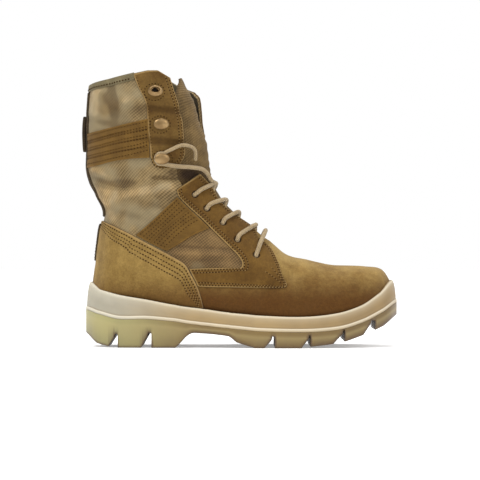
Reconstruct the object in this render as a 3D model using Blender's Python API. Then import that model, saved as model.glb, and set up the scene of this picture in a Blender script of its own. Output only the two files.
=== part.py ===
"""Lace-up desert boot for the right foot, standing on its lugged sole.

The boot points along +X and stands on z = 0. Its outer side faces -Y. The origin lies on
the floor under the middle of the heel. Each piece that a maker would put together is one
closed solid, and all of them follow from the named sizes and the section tables below.
"""

from math import cos, pi, radians, sin
from typing import NamedTuple

import bmesh
import bpy
import numpy as np
from mathutils import Matrix, Vector

MM = 0.001

# Driving sizes of the sole, the last and the shaft
SOLE_LENGTH = 311 * MM
SOLE_WIDTH = 112 * MM
HEEL_BACK = 45 * MM
BALL_WIDTH = 104 * MM
INSTEP_HEIGHT = 164 * MM
SHAFT_HEIGHT = 116 * MM
SHAFT_WIDTH = 80 * MM
HEEL_SEAT = 46 * MM

# Walls, layers and the clearance between two pieces that touch
FIT = 0.3 * MM
UPPER_WALL = 2.2 * MM
OVERLAY = 1.5 * MM
WEBBING = 1.7 * MM
BINDING = 1.2 * MM
TONGUE = 3.0 * MM
INSOLE = 4.0 * MM
SEAM_GAP = 0.6 * MM
STRAND_MARGIN = 1.5 * MM

# Sole unit
BAND_INSET = 1.0 * MM
LIP_HEIGHT = 3.0 * MM
RIM_INSET = 1.5 * MM
RIM_ROLL = 2.6 * MM
RIM_SHOULDER = 9 * MM
LUG_DEPTH = 13 * MM
CENTRE_CHANNEL = 9 * MM
CHANNEL_DEPTH = 5 * MM
NOTCH_SLANT = 4 * MM
STEP_MARGIN = 1.5 * MM
FLAT_TREAD = 0.6 * MM
SHOULDER_SHARE = 0.45

# Lace and its hardware
LACE = 3.6 * MM
EYELET = 5.0 * MM
HOOK_LENGTH = 15 * MM
HOOK_WIDTH = 11 * MM
HOOK_DOME = 2.8 * MM
HOOK_NECK = 6.0 * MM
HOOK_GAP = 4.2 * MM
HOOK_PLATE = 1.1 * MM
BACKSTAY_WIDTH = 18 * MM
PULL_LOOP_WIDTH = 14 * MM
PULL_LOOP_STAND = 1.9 * MM
HEEL_STRIP_WIDE = 7.5 * MM
HEEL_STRIP_NARROW = 3.6 * MM

# Fineness of the faceted solids
SIDE_STEPS = 9
RINGS = 29
OVERSHOOT = 12 * MM
THROAT_DEPTH = 26 * MM
LEAF_DEPTH = 36 * MM


class Section(NamedTuple):
    """One section of the last, in a plane across the boot from a back or under point to a front one.

    along values are shares of the sole's length from its back. up is a share of the instep height,
    and past 1 it goes on in shares of the shaft. Widths are shares of the ball width in the foot
    and of the shaft width above.
    """

    front_along: float
    front_up: float
    back_along: float
    back_rise: float
    drift: float
    outer: float
    inner: float
    belly: float
    under: float
    over: float


# Foot: back_rise is a share of the heel seat's height above the floor
FOOT_SECTIONS = (
    Section(0.985, 0.370, 0.985, 1.09, 0.058, 0.075, 0.075, 0.45, 2.2, 2.2),
    Section(0.952, 0.465, 0.952, 0.93, 0.053, 0.290, 0.275, 0.33, 2.7, 2.3),
    Section(0.895, 0.487, 0.895, 0.72, 0.045, 0.435, 0.400, 0.30, 3.1, 2.4),
    Section(0.800, 0.495, 0.800, 0.55, 0.033, 0.512, 0.460, 0.30, 3.4, 2.3),
    Section(0.705, 0.527, 0.705, 0.48, 0.024, 0.525, 0.480, 0.28, 3.5, 2.15),
    Section(0.645, 0.557, 0.645, 0.48, 0.020, 0.520, 0.478, 0.26, 3.5, 2.0),
    Section(0.601, 0.625, 0.590, 0.49, 0.020, 0.508, 0.455, 0.24, 3.5, 1.9),
    Section(0.531, 0.750, 0.473, 0.57, 0.020, 0.470, 0.395, 0.22, 3.5, 1.8),
    Section(0.460, 0.866, 0.334, 0.71, 0.015, 0.425, 0.358, 0.20, 3.4, 1.8),
    Section(0.413, 1.000, 0.160, 0.87, 0.010, 0.378, 0.343, 0.21, 3.0, 1.8),
    Section(0.410, 1.069, 0.045, 0.96, 0.005, 0.360, 0.343, 0.27, 2.3, 1.8),
)

# Shaft: back_rise is a share of the height from the heel seat to the top of the last
SHAFT_SECTIONS = (
    Section(0.406, 1.138, 0.027, 0.047, 0.0, 0.455, 0.445, 0.31, 2.05, 1.85),
    Section(0.402, 1.233, 0.036, 0.162, 0.0, 0.445, 0.445, 0.37, 2.0, 1.85),
    Section(0.396, 1.366, 0.048, 0.295, 0.0, 0.452, 0.452, 0.43, 2.0, 1.9),
    Section(0.388, 1.457, 0.061, 0.372, 0.0, 0.462, 0.462, 0.46, 2.0, 1.9),
    Section(0.381, 1.530, 0.038, 0.453, 0.0, 0.478, 0.478, 0.47, 2.05, 1.95),
    Section(0.377, 1.629, 0.009, 0.534, 0.0, 0.492, 0.492, 0.48, 2.1, 2.0),
    Section(0.370, 1.733, 0.007, 0.684, 0.0, 0.500, 0.500, 0.48, 2.1, 2.0),
    Section(0.351, 1.853, 0.008, 0.820, 0.0, 0.500, 0.500, 0.48, 2.1, 2.0),
    Section(0.325, 2.017, 0.017, 0.974, 0.0, 0.500, 0.500, 0.48, 2.1, 2.0),
)


class Throat(NamedTuple):
    """Half-widths of the opening in front, at a section, as shares of the shaft width."""

    section: float
    outer: float
    inner: float


THROAT = (
    Throat(6.15, 0.06, 0.06),
    Throat(6.45, 0.14, 0.14),
    Throat(8.0, 0.16, 0.16),
    Throat(10.4, 0.19, 0.17),
    Throat(11.6, 0.33, 0.17),
    Throat(13.0, 0.39, 0.16),
    Throat(19.0, 0.40, 0.13),
)


class Plan(NamedTuple):
    """Half-widths of the sole seen from below, at a share of its length, as shares of its width."""

    along: float
    outer: float
    inner: float


SOLE_PLAN = (
    Plan(0.035, 0.235, 0.230),
    Plan(0.10, 0.345, 0.335),
    Plan(0.20, 0.385, 0.360),
    Plan(0.32, 0.410, 0.375),
    Plan(0.44, 0.450, 0.405),
    Plan(0.56, 0.488, 0.455),
    Plan(0.67, 0.503, 0.494),
    Plan(0.77, 0.495, 0.505),
    Plan(0.86, 0.445, 0.480),
    Plan(0.93, 0.345, 0.410),
    Plan(0.98, 0.195, 0.270),
)
TOE_DRIFT = 0.045


class Level(NamedTuple):
    """Heights at a share of the sole's length, as shares of the heel seat's height."""

    along: float
    rim: float
    joint: float
    tread: float


SOLE_LEVELS = (
    Level(0.00, 1.40, 0.80, 0.30),
    Level(0.04, 1.25, 0.72, 0.09),
    Level(0.11, 1.13, 0.61, 0.0),
    Level(0.20, 1.03, 0.61, 0.0),
    Level(0.289, 0.92, 0.56, 0.0),
    Level(0.335, 0.87, 0.51, 0.285),
    Level(0.37, 0.84, 0.48, 0.31),
    Level(0.46, 0.76, 0.42, 0.25),
    Level(0.485, 0.74, 0.40, 0.12),
    Level(0.55, 0.70, 0.36, 0.0),
    Level(0.66, 0.67, 0.34, 0.0),
    Level(0.74, 0.69, 0.35, 0.05),
    Level(0.82, 0.77, 0.41, 0.13),
    Level(0.89, 0.93, 0.56, 0.29),
    Level(0.95, 1.18, 0.76, 0.46),
    Level(1.00, 1.44, 0.96, 0.69),
)


class Notch(NamedTuple):
    """A channel across the tread, slanted behind, upright in front, its depth a share of a full lug."""

    start: float
    apex: float
    end: float
    depth: float


NOTCHES = (
    Notch(0.080, 0.100, 0.108, 1.0),
    Notch(0.182, 0.206, 0.215, 1.15),
    Notch(0.572, 0.598, 0.605, 0.9),
    Notch(0.690, 0.714, 0.717, 0.85),
    Notch(0.790, 0.822, 0.825, 0.9),
    Notch(0.885, 0.912, 0.923, 0.85),
)


FOREFOOT_CHANNEL = (0.52, 0.93)


class Point(NamedTuple):
    """A place in the boot's side view: a share of the sole's length, and up as in Section."""

    along: float
    up: float


COLLAR_EDGE = (
    Point(-0.05, 1.78),
    Point(0.013, 1.825),
    Point(0.203, 1.940),
    Point(0.235, 1.942),
    Point(0.265, 1.893),
    Point(0.300, 1.835),
    Point(0.345, 1.780),
    Point(0.375, 1.690),
    Point(0.450, 1.520),
)
COUNTER = (
    Point(-0.06, 0.765),
    Point(0.055, 0.762),
    Point(0.093, 0.738),
    Point(0.190, 0.640),
    Point(0.286, 0.543),
    Point(0.322, 0.500),
    Point(0.341, 0.439),
    Point(0.370, 0.323),
    Point(0.380, 0.0),
    Point(-0.06, 0.0),
)
QUARTER = (
    Point(0.293, 0.951),
    Point(0.367, 1.069),
    Point(0.480, 1.069),
    Point(0.600, 0.640),
    Point(0.614, 0.512),
    Point(0.643, 0.363),
    Point(0.366, 0.363),
    Point(0.332, 0.476),
    Point(0.498, 0.482),
    Point(0.502, 0.512),
    Point(0.489, 0.555),
    Point(0.412, 0.695),
    Point(0.322, 0.860),
)
EYESTAY = (
    Point(0.159, 2.02),
    Point(0.174, 1.793),
    Point(0.196, 1.664),
    Point(0.203, 1.450),
    Point(0.213, 1.172),
    Point(0.225, 1.120),
    Point(0.240, 1.103),
    Point(0.320, 1.103),
    Point(0.420, 1.300),
    Point(0.420, 2.02),
)
SHAFT_BAND = (
    Point(-0.06, 1.370),
    Point(0.003, 1.403),
    Point(0.198, 1.522),
    Point(0.2095, 1.195),
    Point(0.084, 1.164),
    Point(0.013, 1.121),
    Point(-0.06, 1.100),
)
ANKLE_STRAP = (
    Point(0.290, 0.888),
    Point(0.378, 0.722),
    Point(0.263, 0.580),
    Point(0.166, 0.672),
)
BINDING_EDGE = (
    Point(-0.06, 1.740),
    Point(0.013, 1.777),
    Point(0.164, 1.868),
)
BINDING_FRONT = Point(0.157, 2.05)
BACKSTAY = (
    Point(-0.10, 0.786),
    Point(-0.10, 1.735),
    Point(0.100, 1.790),
    Point(0.100, 0.786),
)
HEEL_STRIP = (
    Point(-0.10, 0.738),
    Point(0.100, 0.738),
    Point(0.100, 0.512),
    Point(-0.10, 0.512),
)
PULL_LOOP = (1.552, 1.275)
HOOKS = (Point(0.223, 1.759), Point(0.241, 1.483), Point(0.244, 1.190))
EYELETS = (
    Point(0.3505, 0.921),
    Point(0.389, 0.835),
    Point(0.4405, 0.750),
    Point(0.487, 0.646),
    Point(0.5465, 0.555),
)


class TongueRow(NamedTuple):
    """The tongue at a section: how far it lies inside the upper's wall, and its half-width."""

    section: float
    sink: float
    half_width: float


# Sink is in walls of the upper, half_width a share of the shaft width
TONGUE_ROWS = (
    TongueRow(5.7, 0.05, 0.20),
    TongueRow(8.0, 0.05, 0.30),
    TongueRow(11.0, 0.05, 0.37),
    TongueRow(14.0, 0.05, 0.41),
    TongueRow(16.5, 1.5, 0.41),
    TongueRow(17.6, 2.5, 0.33),
    TongueRow(18.1, 3.0, 0.16),
)
TONGUE_SHIFT = 0.07

# The last faces the sole below this share of the heel seat's height
UNDERSIDE_SHARE = 1.35


def height(up):
    """Height over the floor of an up share: the instep's height, then the shaft's."""
    foot = np.minimum(up, 1.0) * INSTEP_HEIGHT
    return foot + np.maximum(np.asarray(up) - 1.0, 0.0) * SHAFT_HEIGHT


def place(along):
    """World x of a share of the sole's length."""
    return np.asarray(along) * SOLE_LENGTH - HEEL_BACK


def section_values():
    """All sections in metres, one row each, from the toe to past the collar."""
    rows = []
    top = INSTEP_HEIGHT + SHAFT_HEIGHT
    for row in FOOT_SECTIONS:
        rows.append(_metres(row, row.back_rise * HEEL_SEAT, BALL_WIDTH))
    for row in SHAFT_SECTIONS:
        rows.append(_metres(row, HEEL_SEAT + row.back_rise * (top - HEEL_SEAT), SHAFT_WIDTH))
    return np.array(rows)


def _metres(row, back_height, width):
    """A section's ten values in metres and exponents."""
    front = (place(row.front_along), height(row.front_up))
    back = (place(row.back_along), back_height)
    sides = (row.drift * width, row.outer * width, row.inner * width)
    return (*front, *back, *sides, row.belly, row.under, row.over)


def smooth_rows(table, positions):
    """Rows of a table at fractional positions, on a curve through every row."""
    positions = np.clip(np.asarray(positions, dtype=float), 0.0, len(table) - 1.0)
    start = np.minimum(positions.astype(int), len(table) - 2)
    share = (positions - start)[:, None]
    before = table[np.maximum(start - 1, 0)]
    here = table[start]
    following = table[start + 1]
    after = table[np.minimum(start + 2, len(table) - 1)]
    slope_here = (following - before) / 2
    slope_next = (after - here) / 2
    square = share * share
    cube = square * share
    return (
        (2 * cube - 3 * square + 1) * here
        + (cube - 2 * square + share) * slope_here
        + (3 * square - 2 * cube) * following
        + (cube - square) * slope_next
    )


SECTIONS = section_values()
LAST_SECTION = len(SECTIONS) - 1


def half_width(values, rise, outer_side):
    """Half-width of a section at a share of its rise, on the outer or the inner side."""
    belly = values[..., 7]
    low = np.clip(1 - rise / belly, 0, 1)
    high = np.clip((rise - belly) / (1 - belly), 0, 1)
    under = values[..., 8]
    over = values[..., 9]
    share = np.where(rise < belly, (1 - low**under) ** (1 / under), (1 - high**over) ** (1 / over))
    return share * np.where(outer_side, values[..., 5], values[..., 6])


def ring(values):
    """Points of one section as a closed loop: from under up the outer side, and down the inner side."""
    belly, under, over = values[7], values[8], values[9]
    angles = np.linspace(-pi / 2, pi / 2, SIDE_STEPS + 1)
    low = np.abs(np.sin(np.minimum(angles, 0))) ** (2 / under)
    high = np.abs(np.sin(np.maximum(angles, 0))) ** (2 / over)
    rise = np.where(angles < 0, belly * (1 - low), belly + (1 - belly) * high)
    power = np.where(angles < 0, 2 / under, 2 / over)
    width = np.abs(np.cos(angles)) ** power
    width[0] = 0
    width[-1] = 0
    x = values[2] + (values[0] - values[2]) * rise
    z = values[3] + (values[1] - values[3]) * rise
    outer = np.stack([x, values[4] - width * values[5], z], axis=1)
    inner = np.stack([x, values[4] + width * values[6], z], axis=1)
    return np.concatenate([outer, inner[-2:0:-1]])


def last_grid():
    """The last's surface: rings from the toe to past the collar, with their outward normals."""
    rows = smooth_rows(SECTIONS, np.linspace(0, LAST_SECTION, RINGS))
    points = np.stack([ring(row) for row in rows])
    along = np.gradient(points, axis=0)
    around = np.roll(points, -1, axis=1) - np.roll(points, 1, axis=1)
    normals = np.cross(around, along)
    normals /= np.linalg.norm(normals, axis=2, keepdims=True)
    return points, normals


LAST_POINTS, LAST_NORMALS = last_grid()


def surface(section, y, grow=0.0):
    """A point on top of the last at a section and a sideways place, moved out by grow, and its normal."""

    def on_last(at, sideways):
        values = smooth_rows(SECTIONS, [at])[0]
        side = values[5] if sideways < values[4] else values[6]
        share = min(abs(sideways - values[4]) / side, 0.999)
        rise = values[7] + (1 - values[7]) * (1 - share ** values[9]) ** (1 / values[9])
        x = values[2] + (values[0] - values[2]) * rise
        z = values[3] + (values[1] - values[3]) * rise
        return Vector((x, sideways, z))

    step = 0.02
    reach = 0.5 * MM
    along = on_last(min(section + step, LAST_SECTION), y) - on_last(max(section - step, 0), y)
    across = on_last(section, y + reach) - on_last(section, y - reach)
    normal = along.cross(across).normalized()
    if normal.x + normal.z < 0:
        normal.negate()
    return on_last(section, y) + normal * grow, normal


def section_at(x, z):
    """Section number and rise of a place in the side view."""
    positions = np.linspace(0, LAST_SECTION, 40 * LAST_SECTION + 1)
    rows = smooth_rows(SECTIONS, positions)
    run = rows[:, 0] - rows[:, 2]
    climb = rows[:, 1] - rows[:, 3]
    side = (x - rows[:, 2]) * climb - (z - rows[:, 3]) * run
    side /= np.hypot(run, climb)
    crossing = max(int(np.argmax(side > 0)), 1)
    share = side[crossing - 1] / (side[crossing - 1] - side[crossing])
    position = positions[crossing - 1] + share * (positions[crossing] - positions[crossing - 1])
    values = smooth_rows(SECTIONS, [position])[0]
    across = np.array([values[0] - values[2], values[1] - values[3]])
    rise = float(((x - values[2]) * across[0] + (z - values[3]) * across[1]) / (across @ across))
    return position, rise


def side_point(spot, outer_side, grow=0.0):
    """The point of the last at a place of the side view, moved out by grow, with its normal."""
    x = float(place(spot.along))
    z = float(height(spot.up))

    def on_side(px, pz):
        position, rise = section_at(px, pz)
        values = smooth_rows(SECTIONS, [position])[0]
        width = float(half_width(values, rise, outer_side))
        return Vector((px, values[4] - width if outer_side else values[4] + width, pz))

    step = 1.5 * MM
    ahead = on_side(x + step, z) - on_side(x - step, z)
    upward = on_side(x, z + step) - on_side(x, z - step)
    normal = ahead.cross(upward).normalized()
    if (normal.y > 0) == outer_side:
        normal.negate()
    return on_side(x, z) + normal * grow, normal


def new_object(name, vertices, faces):
    """A mesh object with its faces turned outward."""
    mesh = bpy.data.meshes.new(name)
    mesh.from_pydata([tuple(map(float, vertex)) for vertex in vertices], [], faces)
    solid = bmesh.new()
    solid.from_mesh(mesh)
    bmesh.ops.recalc_face_normals(solid, faces=solid.faces)
    solid.to_mesh(mesh)
    solid.free()
    obj = bpy.data.objects.new(name, mesh)
    bpy.context.scene.collection.objects.link(obj)
    return obj


def combine(obj, tool, operation="DIFFERENCE"):
    """Cut, join or intersect obj with tool, and drop the tool."""
    modifier = obj.modifiers.new(tool.name, "BOOLEAN")
    modifier.operation = operation
    modifier.solver = "EXACT"
    modifier.object = tool
    bpy.context.view_layer.update()
    evaluated = obj.evaluated_get(bpy.context.evaluated_depsgraph_get())
    result = bpy.data.meshes.new_from_object(evaluated)
    old = obj.data
    obj.modifiers.clear()
    obj.data = result
    bpy.data.meshes.remove(old)
    bpy.data.objects.remove(tool)
    return obj


def finish(obj, colour, roughness, metallic=0.0):
    """Give a finished piece its material and smooth shading."""
    material = bpy.data.materials.new(obj.name)
    material.use_nodes = True
    shader = material.node_tree.nodes["Principled BSDF"]
    shader.inputs["Base Color"].default_value = (*colour, 1.0)
    shader.inputs["Roughness"].default_value = roughness
    shader.inputs["Metallic"].default_value = metallic
    obj.data.materials.clear()
    obj.data.materials.append(material)
    obj.data.shade_smooth()
    obj.data.set_sharp_from_angle(angle=radians(40))
    return obj


def loops_solid(name, loops, close_start, close_end, split=False):
    """A solid through equal loops, closed with the given faces of its first and last loop.

    With split, each four-sided face is two triangles, so that copies moved outward keep an even gap.
    """
    count = len(loops[0])
    vertices = [vertex for loop in loops for vertex in loop]
    faces = []
    for row in range(len(loops) - 1):
        for step in range(count):
            after = (step + 1) % count
            low = row * count
            high = low + count
            if split:
                faces.append((low + step, low + after, high + after))
                faces.append((low + step, high + after, high + step))
            else:
                faces.append((low + step, low + after, high + after, high + step))
    last = (len(loops) - 1) * count
    faces += [tuple(index for index in face) for face in close_start(count)]
    faces += [tuple(last + index for index in face) for face in close_end(count)]
    return new_object(name, vertices, faces)


def whole_cap(count):
    """One face over a flat loop."""
    return [tuple(range(count))]


def strip_cap(count):
    """Faces across a loop whose first and middle points lie on its axis."""
    half = count // 2
    faces = [(0, 1, count - 1)]
    for step in range(1, half - 1):
        faces.append((step, step + 1, count - step - 1, count - step))
    faces.append((half - 1, half, half + 1))
    return faces


def last_solid(name, grow, drop=0.0, raise_top=0.0):
    """The last as a solid, moved out by grow, its underside down by drop and its top up by raise_top.

    grow is one distance, or one for each ring.
    """
    offset = LAST_NORMALS * np.reshape(np.broadcast_to(grow, len(LAST_POINTS)), (-1, 1, 1))
    facing_down = LAST_NORMALS[..., 2] < 0
    on_foot = LAST_POINTS[..., 2] < HEEL_SEAT * UNDERSIDE_SHARE
    sunk = facing_down & on_foot
    offset[..., 2] = np.where(sunk, LAST_NORMALS[..., 2] * drop, offset[..., 2])
    points = LAST_POINTS + offset
    points[-1, :, 2] += raise_top
    solid = loops_solid(name, list(points), lambda count: [], whole_cap, split=True)
    shell = bmesh.new()
    shell.from_mesh(solid.data)
    shell.verts.ensure_lookup_table()
    first_ring = [shell.verts[index] for index in range(points.shape[1])]
    nose = points[0].mean(axis=0)
    nose[0] += MM
    tip = shell.verts.new(nose)
    for step, vertex in enumerate(first_ring):
        shell.faces.new((vertex, first_ring[(step + 1) % len(first_ring)], tip))
    bmesh.ops.recalc_face_normals(shell, faces=shell.faces)
    shell.to_mesh(solid.data)
    shell.free()
    return solid


def prism(name, outline, y_low, y_high):
    """A solid across the boot from an outline in the side view, in metres."""
    low = [(x, y_low, z) for x, z in outline]
    high = [(x, y_high, z) for x, z in outline]
    return loops_solid(name, [low, high], whole_cap, whole_cap)


def in_metres(points):
    """Side-view points in metres."""
    return [(float(place(point.along)), float(height(point.up))) for point in points]


def collar_cutter():
    """Everything above the collar's edge."""
    edge = in_metres(COLLAR_EDGE)
    top = INSTEP_HEIGHT + SHAFT_HEIGHT + 2 * OVERSHOOT
    outline = edge + [(edge[-1][0], top), (edge[0][0], top)]
    return prism("collar cut", outline, -SOLE_WIDTH, SOLE_WIDTH)


def front_cutter(name, positions, outer, inner, depth):
    """Boxes along the front of the last, from outer to inner sideways of its middle line and this deep."""
    rows = smooth_rows(SECTIONS, positions)
    loops = []
    for index, row in enumerate(rows):
        front = np.array([row[0], row[1]])
        across = front - np.array([row[2], row[3]])
        across /= np.linalg.norm(across)
        out_x, out_z = front + across * OVERSHOOT
        in_x, in_z = front - across * depth
        left = row[4] - outer[index]
        right = row[4] + inner[index]
        loops.append([(in_x, left, in_z), (out_x, left, out_z), (out_x, right, out_z), (in_x, right, in_z)])
    return loops_solid(name, loops, whole_cap, whole_cap)


def throat_cutter():
    """The opening down the front."""
    table = np.array(THROAT)
    positions = np.linspace(table[0, 0], table[-1, 0], 18)
    outer = np.interp(positions, table[:, 0], table[:, 1]) * SHAFT_WIDTH
    inner = np.interp(positions, table[:, 0], table[:, 2]) * SHAFT_WIDTH
    return front_cutter("throat cut", positions, outer, inner, THROAT_DEPTH)


def level(along, column):
    """A height of the sole at a share of its length: rim, joint or tread."""
    table = np.array(SOLE_LEVELS)
    return np.interp(along, table[:, 0], table[:, column]) * HEEL_SEAT


def smooth_level(along, column):
    """A height of the sole on a smooth curve through the table."""
    table = np.array(SOLE_LEVELS)
    positions = np.interp(np.clip(along, 0, 1), table[:, 0], np.arange(len(table)))
    return smooth_rows(table, np.atleast_1d(positions))[:, column] * HEEL_SEAT


def sole_loop(inset=0.0, roll=0.0):
    """The sole's outline in plan from its back, moved in by inset, and by roll more at heel and toe."""
    outer = [(row.along, -row.outer * SOLE_WIDTH) for row in SOLE_PLAN]
    inner = [(row.along, row.inner * SOLE_WIDTH) for row in SOLE_PLAN]
    places = [(0.0, 0.0)] + outer + [(1.0, TOE_DRIFT * SOLE_WIDTH)] + inner[::-1]
    points = np.array([(float(place(along)), y) for along, y in places])
    closed = np.concatenate([points[-1:], points, points[:2]])
    steps = np.arange(0, len(points), 0.5) + 1
    loop = smooth_rows(closed, steps)
    tangent = np.roll(loop, -1, axis=0) - np.roll(loop, 1, axis=0)
    normal = np.stack([tangent[:, 1], -tangent[:, 0]], axis=1)
    normal /= np.linalg.norm(normal, axis=1, keepdims=True)
    outward = normal if normal[0, 0] < 0 else -normal
    distance = inset + roll * np.abs(outward[:, :1])
    return loop - outward * distance


def at_height(loop, heights):
    """A plan loop as points in space at given heights."""
    return [(x, y, float(z)) for (x, y), z in zip(loop, heights)]


def loop_along(loop):
    """Share of the sole's length of each point of a loop."""
    return (loop[:, 0] + HEEL_BACK) / SOLE_LENGTH


def make_band():
    """The beige unit that holds the upper: a stepped wall with a rolled rim, hollowed by the last."""
    lip = sole_loop()
    wall = sole_loop(BAND_INSET)
    rim = sole_loop(RIM_INSET, RIM_ROLL)
    joint = smooth_level(loop_along(lip), 2) + FIT
    shoulder = smooth_level(loop_along(wall), 1) - RIM_SHOULDER
    shoulder = np.maximum(shoulder, smooth_level(loop_along(wall), 2) + LIP_HEIGHT + STEP_MARGIN)
    loops = [
        at_height(lip, joint),
        at_height(lip, joint + LIP_HEIGHT),
        at_height(wall, smooth_level(loop_along(wall), 2) + LIP_HEIGHT + MM),
        at_height(wall, shoulder),
        at_height(rim, smooth_level(loop_along(rim), 1)),
    ]
    band = loops_solid("midsole", loops, strip_cap, strip_cap)
    combine(band, last_solid("band hollow", FIT, FIT))
    return finish(band, (0.66, 0.57, 0.43), 0.6)


def make_outsole():
    """The honey rubber outsole: heel and forefoot lugs, arch and toe spring, cut by channels."""
    edge = sole_loop()
    foot = sole_loop(BAND_INSET)
    along = loop_along(edge)
    tread = smooth_level(along, 3)
    tread = np.where(tread < FLAT_TREAD, 0.0, tread)
    joint = smooth_level(along, 2)
    shoulder = joint - SHOULDER_SHARE * np.minimum(joint - tread, LUG_DEPTH)
    loops = [at_height(edge, joint), at_height(edge, shoulder), at_height(foot, tread)]
    outsole = loops_solid("outsole", loops, strip_cap, strip_cap)
    for number, notch in enumerate(NOTCHES, 1):
        combine(outsole, notch_cutter(notch, number))
    combine(outsole, channel_cutter(FOREFOOT_CHANNEL))
    return finish(outsole, (0.50, 0.36, 0.12), 0.45)


def notch_cutter(notch, number):
    """A channel across the tread."""
    floor = float(level(notch.apex, 3)) + LUG_DEPTH * notch.depth
    below = -OVERSHOOT
    slant = floor - NOTCH_SLANT
    outline = [
        (float(place(notch.start)), below),
        (float(place(notch.start)), float(level(notch.start, 3))),
        (float(place(notch.apex - 0.004)), slant),
        (float(place(notch.apex)), floor),
        (float(place(notch.end)), floor - MM),
        (float(place(notch.end)), below),
    ]
    return prism(f"notch {number}", outline, -SOLE_WIDTH, SOLE_WIDTH)


def channel_cutter(reach):
    """A channel along the middle of the forefoot's tread, of even depth."""
    loops = []
    for along in np.linspace(*reach, 9):
        x = float(place(along))
        drift = TOE_DRIFT * SOLE_WIDTH * max(along - 0.3, 0)
        top = float(level(along, 3)) + CHANNEL_DEPTH
        left = drift - CENTRE_CHANNEL / 2
        right = drift + CENTRE_CHANNEL / 2
        loops.append([(x, left, -OVERSHOOT), (x, left, top), (x, right, top), (x, right, -OVERSHOOT)])
    return loops_solid("channel", loops, whole_cap, whole_cap)


def below_rim():
    """Everything under the rim of the sole unit, and its clearance."""
    along = np.linspace(-0.02, 1.02, 40)
    heights = smooth_level(along, 1) + FIT
    outline = [(float(place(a)), float(z)) for a, z in zip(along, heights)]
    outline += [(outline[-1][0], -OVERSHOOT), (outline[0][0], -OVERSHOOT)]
    return prism("under the rim", outline, -SOLE_WIDTH, SOLE_WIDTH)


def hole_cutter(spot, outer_side, number):
    """A round cutter through the layers at an eyelet."""
    centre, normal = side_point(spot, outer_side)
    turn = normal.to_track_quat("Z", "Y").to_matrix().to_4x4()
    mesh = bpy.data.meshes.new(f"eyelet {number}")
    solid = bmesh.new()
    bmesh.ops.create_cone(
        solid,
        cap_ends=True,
        segments=8,
        radius1=EYELET / 2,
        radius2=EYELET / 2,
        depth=OVERSHOOT,
        matrix=Matrix.Translation(centre) @ turn,
    )
    solid.to_mesh(mesh)
    solid.free()
    obj = bpy.data.objects.new(f"eyelet {number}", mesh)
    bpy.context.scene.collection.objects.link(obj)
    return obj


def make_upper():
    """The hollow upper: one wall from the sole to the collar, open down the front and underneath."""
    upper = last_solid("upper", 0.0)
    combine(upper, last_solid("upper hollow", -UPPER_WALL, UPPER_WALL, 2 * OVERSHOOT))
    combine(upper, collar_cutter())
    combine(upper, throat_cutter())
    for outer_side in (True, False):
        for number, spot in enumerate(EYELETS, 1):
            combine(upper, hole_cutter(spot, outer_side, number))
    return finish(upper, (0.36, 0.29, 0.18), 0.9)


def make_insole():
    """The footbed, just inside the wall, on the floor of the sole unit."""
    insole = last_solid("insole", -UPPER_WALL - FIT)
    along = np.linspace(0.02, 0.985, 24)
    rows = smooth_rows(SECTIONS, np.linspace(0, len(FOOT_SECTIONS), 24))
    under = rows[:, 2:4]
    order = np.argsort(under[:, 0])
    x = place(along)
    z = np.interp(x, under[order, 0], under[order, 1]) + INSOLE
    outline = [(float(a), float(b)) for a, b in zip(x, z)]
    behind = outline[0][0] - OVERSHOOT
    before = outline[-1][0] + OVERSHOOT
    top = INSTEP_HEIGHT + SHAFT_HEIGHT + 2 * OVERSHOOT
    outline = [(behind, outline[0][1])] + outline + [(before, outline[-1][1])]
    outline += [(before, top), (behind - 2 * OVERSHOOT, top), (behind - 2 * OVERSHOOT, outline[0][1])]
    combine(insole, prism("over the insole", outline, -SOLE_WIDTH, SOLE_WIDTH))
    return finish(insole, (0.12, 0.11, 0.09), 0.9)


def make_tongue():
    """The tongue: a curved leaf under the throat that rises past the collar."""
    table = np.array(TONGUE_ROWS)
    rings = np.linspace(0, LAST_SECTION, len(LAST_POINTS))
    sink = UPPER_WALL + FIT + np.interp(rings, table[:, 0], table[:, 1]) * UPPER_WALL
    tongue = last_solid("tongue", -sink)
    positions = np.linspace(table[0, 0], table[-1, 0], 15)
    half = np.interp(positions, table[:, 0], table[:, 2]) * SHAFT_WIDTH
    shift = np.interp(positions, (9.0, 13.0), (0.0, TONGUE_SHIFT)) * SHAFT_WIDTH
    leaf = front_cutter("leaf", positions, half + shift, half - shift, LEAF_DEPTH)
    combine(tongue, leaf, "INTERSECT")
    combine(tongue, last_solid("under the tongue", -sink - TONGUE, 0.0, 2 * OVERSHOOT))
    return finish(tongue, (0.30, 0.26, 0.17), 0.9)


def overlay(name, outline, thickness, outer_side=None, under=0.0, cutters=()):
    """A layer over the last inside a side-view outline, on both sides or on one."""
    layer = last_solid(name, FIT + under + thickness)
    y_low = -SOLE_WIDTH if outer_side is not False else 0.0
    y_high = SOLE_WIDTH if outer_side is not True else 0.0
    combine(layer, prism("panel outline", outline, y_low, y_high), "INTERSECT")
    combine(layer, last_solid("clearance", FIT + under))
    for cutter in cutters:
        combine(layer, cutter())
    return layer


def side_gap(width):
    """A slab round the middle plane that parts a layer at the back seam."""
    def cutter():
        outline = [
            (-HEEL_BACK - OVERSHOOT, 0.0),
            (HEEL_BACK, 0.0),
            (HEEL_BACK, 2 * INSTEP_HEIGHT),
            (-HEEL_BACK - OVERSHOOT, 2 * INSTEP_HEIGHT),
        ]
        return prism("back seam", outline, -width / 2, width / 2)

    return cutter


SUEDE = (0.44, 0.32, 0.19)
NYLON_WEBBING = (0.42, 0.30, 0.13)


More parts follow.
